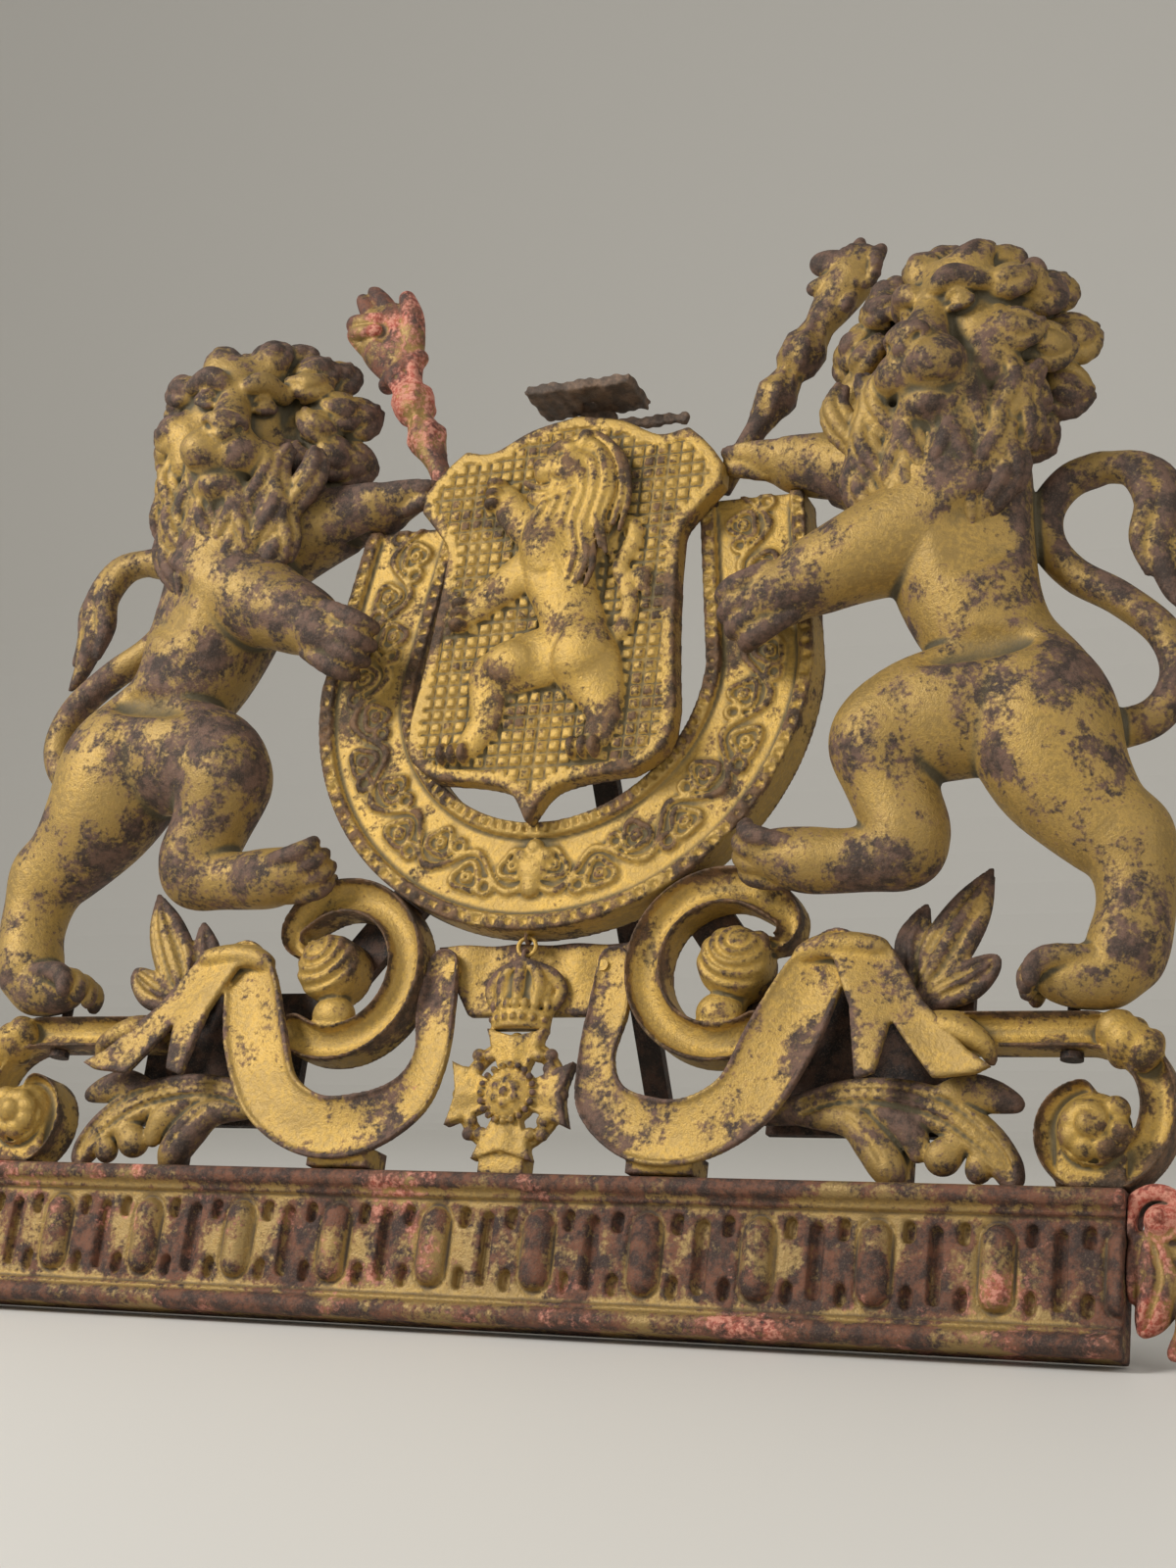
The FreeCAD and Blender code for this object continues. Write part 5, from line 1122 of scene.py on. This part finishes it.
def rail_end():
    """The rail's right end: a leaf of four lobes on a round ground, below a small volute."""
    clay = Clay((313, -33, -2), (358, 3, 79), 1.0)
    seat = RAIL_HALF + SEAT_GAP
    volute_x, volute_z = seat + 14, 62
    path = arc(volute_x, volute_z, (15.0, 7.0), 200, -120, 40)

    def outline(x, z):
        near, share = along_path(path, x, z)
        return near - 4.2 + 1.2 * share

    def front(x, z):
        return -21.0 + 2.0 * np.clip(along_path(path, x, z)[0] / 4.0, 0, 1) ** 2

    clay.relief(outline, front, 0.0, 1.2)
    spiral_boss(clay, volute_x, -14, volute_z, 9, 12, 1.0)
    for lobe in ([(320, 52, 6), (318, 40, 7), (317.6, 28, 3)],
                 [(326, 50, 7), (330, 36, 10), (326, 22, 8), (322, 14, 3)],
                 [(336, 44, 6), (344, 30, 9), (343, 14, 7.5), (336, 5, 4)],
                 [(334, 52, 5), (346, 48, 6), (351, 38, 4)]):
        clay.limb([(x, -13, z, r) for x, z, r in lobe], 1.2, 1.1)
        clay.limb([(x, -13 - 1.1 * r, z, 0.2 * r + 0.3) for x, z, r in lobe], 1.0, carve=True)
    clay.relief(lambda x, z: np.hypot(x - 330, z - 40) - 18, lambda x, z: -10.0)

    def seats(x, y, z):
        return np.maximum(np.maximum(y + 0.05, seat + 0.05 - x), np.maximum(1.5 - z, -28.5 - y))

    clay.trim(seats)
    return clay


# Sceptres

SCEPTRE_WAY = np.array([math.sin(SCEPTRE_TILT), 0.0, math.cos(SCEPTRE_TILT)])
SCEPTRE_SIDE = np.array([math.cos(SCEPTRE_TILT), 0.0, -math.sin(SCEPTRE_TILT)])
# The rod's turning: distance along the sceptre and radius there
TURNING = [(-26, 6.8), (0, 6.3), (14, 6.6), (24, 8.6), (32, 11.5), (37, 12.2), (43, 9.5), (50, 7.8),
           (56, 12.0), (62, 13.0), (69, 12.8), (75, 9.5), (82, 8.4), (92, 7.4)]


def on_sceptre(rows):
    """Rows of side, depth and distance along the sceptre, with any radius, as plate places."""
    rows = np.atleast_2d(np.asarray(rows, float))
    basis = np.array([SCEPTRE_SIDE, (0.0, 1.0, 0.0), SCEPTRE_WAY])
    return np.hstack([SCEPTRE + rows[:, :3] @ basis, rows[:, 3:]])


def sceptre(figure):
    """A turned rod, its radius read along the axis, spirally fluted, with a cast figure on its
    end."""
    low, high = (66, -40, 440), (204, 8, 620)
    clay = Clay(low, high, 1.0)
    marks, radii = np.array(TURNING, float).T

    def rod(x, y, z):
        dx, dy, dz = x - SCEPTRE[0], y - SCEPTRE[1], z - SCEPTRE[2]
        on = dx * SCEPTRE_WAY[0] + dz * SCEPTRE_WAY[2]
        side = dx * SCEPTRE_SIDE[0] + dz * SCEPTRE_SIDE[2]
        flute = 0.5 * np.cos(6 * np.arctan2(dy, side) + on / 5.0) * (on > 20)
        size = np.interp(on, marks, radii) - 0.3 + flute
        return np.maximum(np.hypot(side, dy) - size, np.maximum(-25.8 - on, on - 92))

    clay.put(rod, low, high, 1.0)
    figure(clay)
    return clay


def hand(clay):
    """A raised hand, palm forward: cuff, palm, two fingers up, two folded on the palm and a
    thumb."""
    palm = [(0, 0, 80, 9), (-1, 0, 96, 14), (-1, 0, 112, 19), (-1, 0, 124, 18)]
    clay.limb(on_sceptre(palm), 3.0, 0.55)
    clay.limb(on_sceptre([(-14, 0, 92, 4.6), (0, -2, 87, 6.0), (12, 0, 86, 4.6)]), 1.5, 1.3)
    for fold in ([(-9, -5, 88, 3.4), (-5, -6, 66, 2.0)], [(7, -6, 86, 3.2), (4, -6, 66, 1.8)]):
        clay.limb(on_sceptre(fold), 1.5)
    clay.ball(on_sceptre([(0, -13, 115)])[0], (7, 5, 8), 2.0, carve=True)
    for row in ([(2, -1, 122, 6.2), (5, -1, 142, 5.8), (6.5, -1, 154, 4.2)],
                [(-8, -1, 122, 6.4), (-5, -1, 142, 5.8), (-2, -1, 155, 4.2)],
                [(12, 0, 126, 5.4), (16, -4, 137, 5.2), (8, -9, 131, 4.6), (-1, -10, 126, 4.0)],
                [(15, 0, 118, 5.2), (18, -4, 130, 4.8), (11, -9, 124, 4.4), (3, -10, 119, 3.8)],
                [(-13, -2, 103, 7.4), (-19, -4, 118, 6.8), (-20.5, -5, 133, 5.0)]):
        clay.limb(on_sceptre(row), 0.9)


def finial_lion(clay):
    """A small seated lion: body, shaggy head with two ears, muzzle and forelegs."""
    clay.limb(on_sceptre([(0, 0, 88, 9), (1, 0, 104, 11.5), (2, -1, 117, 13)]), 3.0, 0.85)
    clay.ball(on_sceptre([(2, -1, 124)])[0], (13, 10, 12.5), 2.0)
    clay.limb(on_sceptre([(0, -2, 119, 9.5), (-12, -3, 118, 7.6), (-19, -3, 116, 5.8)]), 2.0, 0.9)
    for row in ([(8, -1, 130, 5), (9, -1, 137, 3)], [(-4, -1, 131, 4.4), (-5, -1, 137, 2.6)],
                [(-6, -4, 108, 5), (-13, -5, 100, 4)], [(8, -3, 108, 4.6), (11, -5, 97, 4)]):
        clay.limb(on_sceptre(row), 1.2)
    for k in range(16):
        turn = k * 2 * math.pi / 16
        curl = (5 + 11 * math.sin(turn), -6 + 2 * math.cos(3 * turn), 120 + 11 * math.cos(turn))
        clay.ball(on_sceptre([curl])[0], 4.0, 0.9)


# Crown seat

def rounded_box(x, y, z, low, high, radius):
    """Distance to a box with rounded edges: how far a point lies beyond the shrunk box, less the
    radius."""
    over = [np.abs(v - (a + b) / 2) - (b - a) / 2 + radius for v, a, b in zip((x, y, z), low, high)]
    inner = np.minimum(np.maximum(np.maximum(over[0], over[1]), over[2]), 0.0)
    return np.sqrt(sum(np.maximum(v, 0.0) ** 2 for v in over)) + inner - radius


def crown_seat():
    """The seat of the lost crown: a rough, wasted plate with its hole, the tab behind the shield
    and the side ear."""
    low, high = (-37, -48, 472), (62, -8, 523)
    clay = Clay(low, high, 1.0)
    for corner, opposite in (((-33, -44, 511), (33, -11.7, 519)),
                             ((-14, -17.7, 477), (14, -11.7, 513)),
                             ((0, -17.7, 499), (58, -11.7, 507))):
        def plate(x, y, z):
            wasted = 0.9 + 0.5 * np.sin(0.31 * x + 0.5 * y) + 0.4 * np.sin(0.83 * x + 1.1 * z)
            return rounded_box(x, y, z, corner, opposite, 2.0) + wasted

        clay.put(plate, low, high, 0.8)
    for x, r in ((41, 2.6), (51, 2.0)):
        clay.ball((x, -17.7, 504), r, 0.8, carve=True)
    clay.trim(lambda x, y, z: 3.4 - np.hypot(x, y + 24.6))
    return clay


# Every casting in its place: pairs first, then single pieces

for label, node, form, finish, slot in (
        ("lion_body", "lion", lion_body, GILT, "gilt_iron"),
        ("lion_head", "lion", lion_head, GILT, "gilt_iron"),
        ("inner_scroll", "c_scroll", inner_scroll, BRIGHT, "gilt_iron"),
        ("outer_scroll", "outer_scroll", outer_scroll, BRIGHT, "gilt_iron"),
        ("acanthus", "acanthus", acanthus, GILT, "gilt_iron"),
        ("leaf_spray", "leaf_spray", leaf_spray, GILT, "gilt_iron"),
        ("ribbon", "ribbon", ribbon, CLOTH, "gilt_iron"),
        ("rail_end", "rail_end", rail_end, PRIMED, "rusted_iron")):
    casting = form()
    for side, mirror in (("_right", False), ("_left", True)):
        name = label + side + "_casting"
        show(name, casting.mesh(name, mirror), finish, node + side)
for name, node, clay, mirror, finish, slot in (
        ("ribbon_centre_casting", "ribbon_centre", ribbon_centre(), False, CLOTH, "gilt_iron"),
        ("badge_casting", "badge", badge(), False, CLOTH, "gilt_iron"),
        ("collar_casting", "collar", collar(), False, BRIGHT, "gilt_iron"),
        ("shield_casting", "shield", shield(), False, BRIGHT, "gilt_iron"),
        ("base_rail_casting", "base_rail", rail(), False, RUSTED, "rusted_iron"),
        ("crown_seat_plate", "crown_seat", crown_seat(), False, BARE, "wrought_iron"),
        ("sceptre_right_casting", "sceptre_right", sceptre(finial_lion), False, GILT, "gilt_iron"),
        ("sceptre_left_casting", "sceptre_left", sceptre(hand), True, PRIMED, "gilt_iron")):
    show(name, clay.mesh(name, mirror), finish, node)
for label in ("back_plate", "junction_plate_left", "junction_plate_right", "rear_stay",
              "foot_screws", "rail_end_screws", "junction_rivets", "paw_screws", "standing_screws",
              "ear_screws", "shield_bolts", "tab_bolts"):
    NODES[label].data.materials[0] = DARK
for label in ("jump_ring", "fold_rivets"):
    NODES[label].data.materials[0] = CLOTH


# Floor, light and camera

def floor_finish():
    """Pale studio paper, uncoated: an even, nearly matt ground that keeps the shadow soft."""
    material = bpy.data.materials.new("pale_studio_paper")
    material.use_nodes = True
    shader = material.node_tree.nodes["Principled BSDF"]
    shader.inputs["Base Color"].default_value = linear("#D6D3CC")
    shader.inputs["Roughness"].default_value = 0.55
    return material


def paper_sweep():
    """Studio paper: flat on the floor, rising behind in a wide quarter round. Rows run front to
    back."""
    turn = np.linspace(0.0, math.pi / 2, 24)
    back = np.concatenate([[-4.0], 2.2 + 1.2 * np.sin(turn), [3.4]])
    up = np.concatenate([[0.0], 1.2 - 1.2 * np.cos(turn), [5.0]])
    verts = np.concatenate([np.column_stack([np.full(back.size, side), back, up])
                            for side in (-7.0, 7.0)])
    rows = np.arange(back.size - 1)
    faces = np.column_stack([rows, rows + back.size, rows + back.size + 1, rows + 1])
    data = bpy.data.meshes.new("paper_sweep")
    data.from_pydata(verts.tolist(), [], faces.tolist())
    data.materials.append(floor_finish())
    sweep = bpy.data.objects.new("paper_sweep", data)
    bpy.context.scene.collection.objects.link(sweep)


def lamp(name, place, aim, watts, size):
    """A square soft box aimed at a point."""
    data = bpy.data.lights.new(name, "AREA")
    data.energy, data.size = watts, size
    lamp_object = bpy.data.objects.new(name, data)
    bpy.context.scene.collection.objects.link(lamp_object)
    lamp_object.location = place
    way = np.asarray(aim, float) - np.asarray(place, float)
    tilt = math.acos(-way[2] / np.linalg.norm(way))
    lamp_object.rotation_euler = (tilt, 0.0, math.atan2(way[0], -way[1]) + math.pi)


paper_sweep()
middle = (0.0, 0.0, 0.3)
lamp("key", (-1.3, -1.5, 1.5), middle, 46.0, 0.8)
lamp("fill", (1.9, -1.4, 1.2), middle, 14.0, 1.6)
world = bpy.data.worlds.new("studio")
world.use_nodes = True
sky = world.node_tree.nodes["Background"]
sky.inputs["Color"].default_value = linear("#E6E4E0")
sky.inputs["Strength"].default_value = 0.55
scene = bpy.context.scene
scene.world = world
scene.view_settings.view_transform = "Standard"
camera_data = bpy.data.cameras.new("camera")
camera_data.lens, camera_data.sensor_width = 54.07, 36.0
camera = bpy.data.objects.new("camera", camera_data)
scene.collection.objects.link(camera)
camera.location = (0.5306, -1.0625 + HEEL_Y, 0.1408)
camera.rotation_euler = (math.radians(96.34), 0.0, math.radians(24.24))
scene.camera = camera
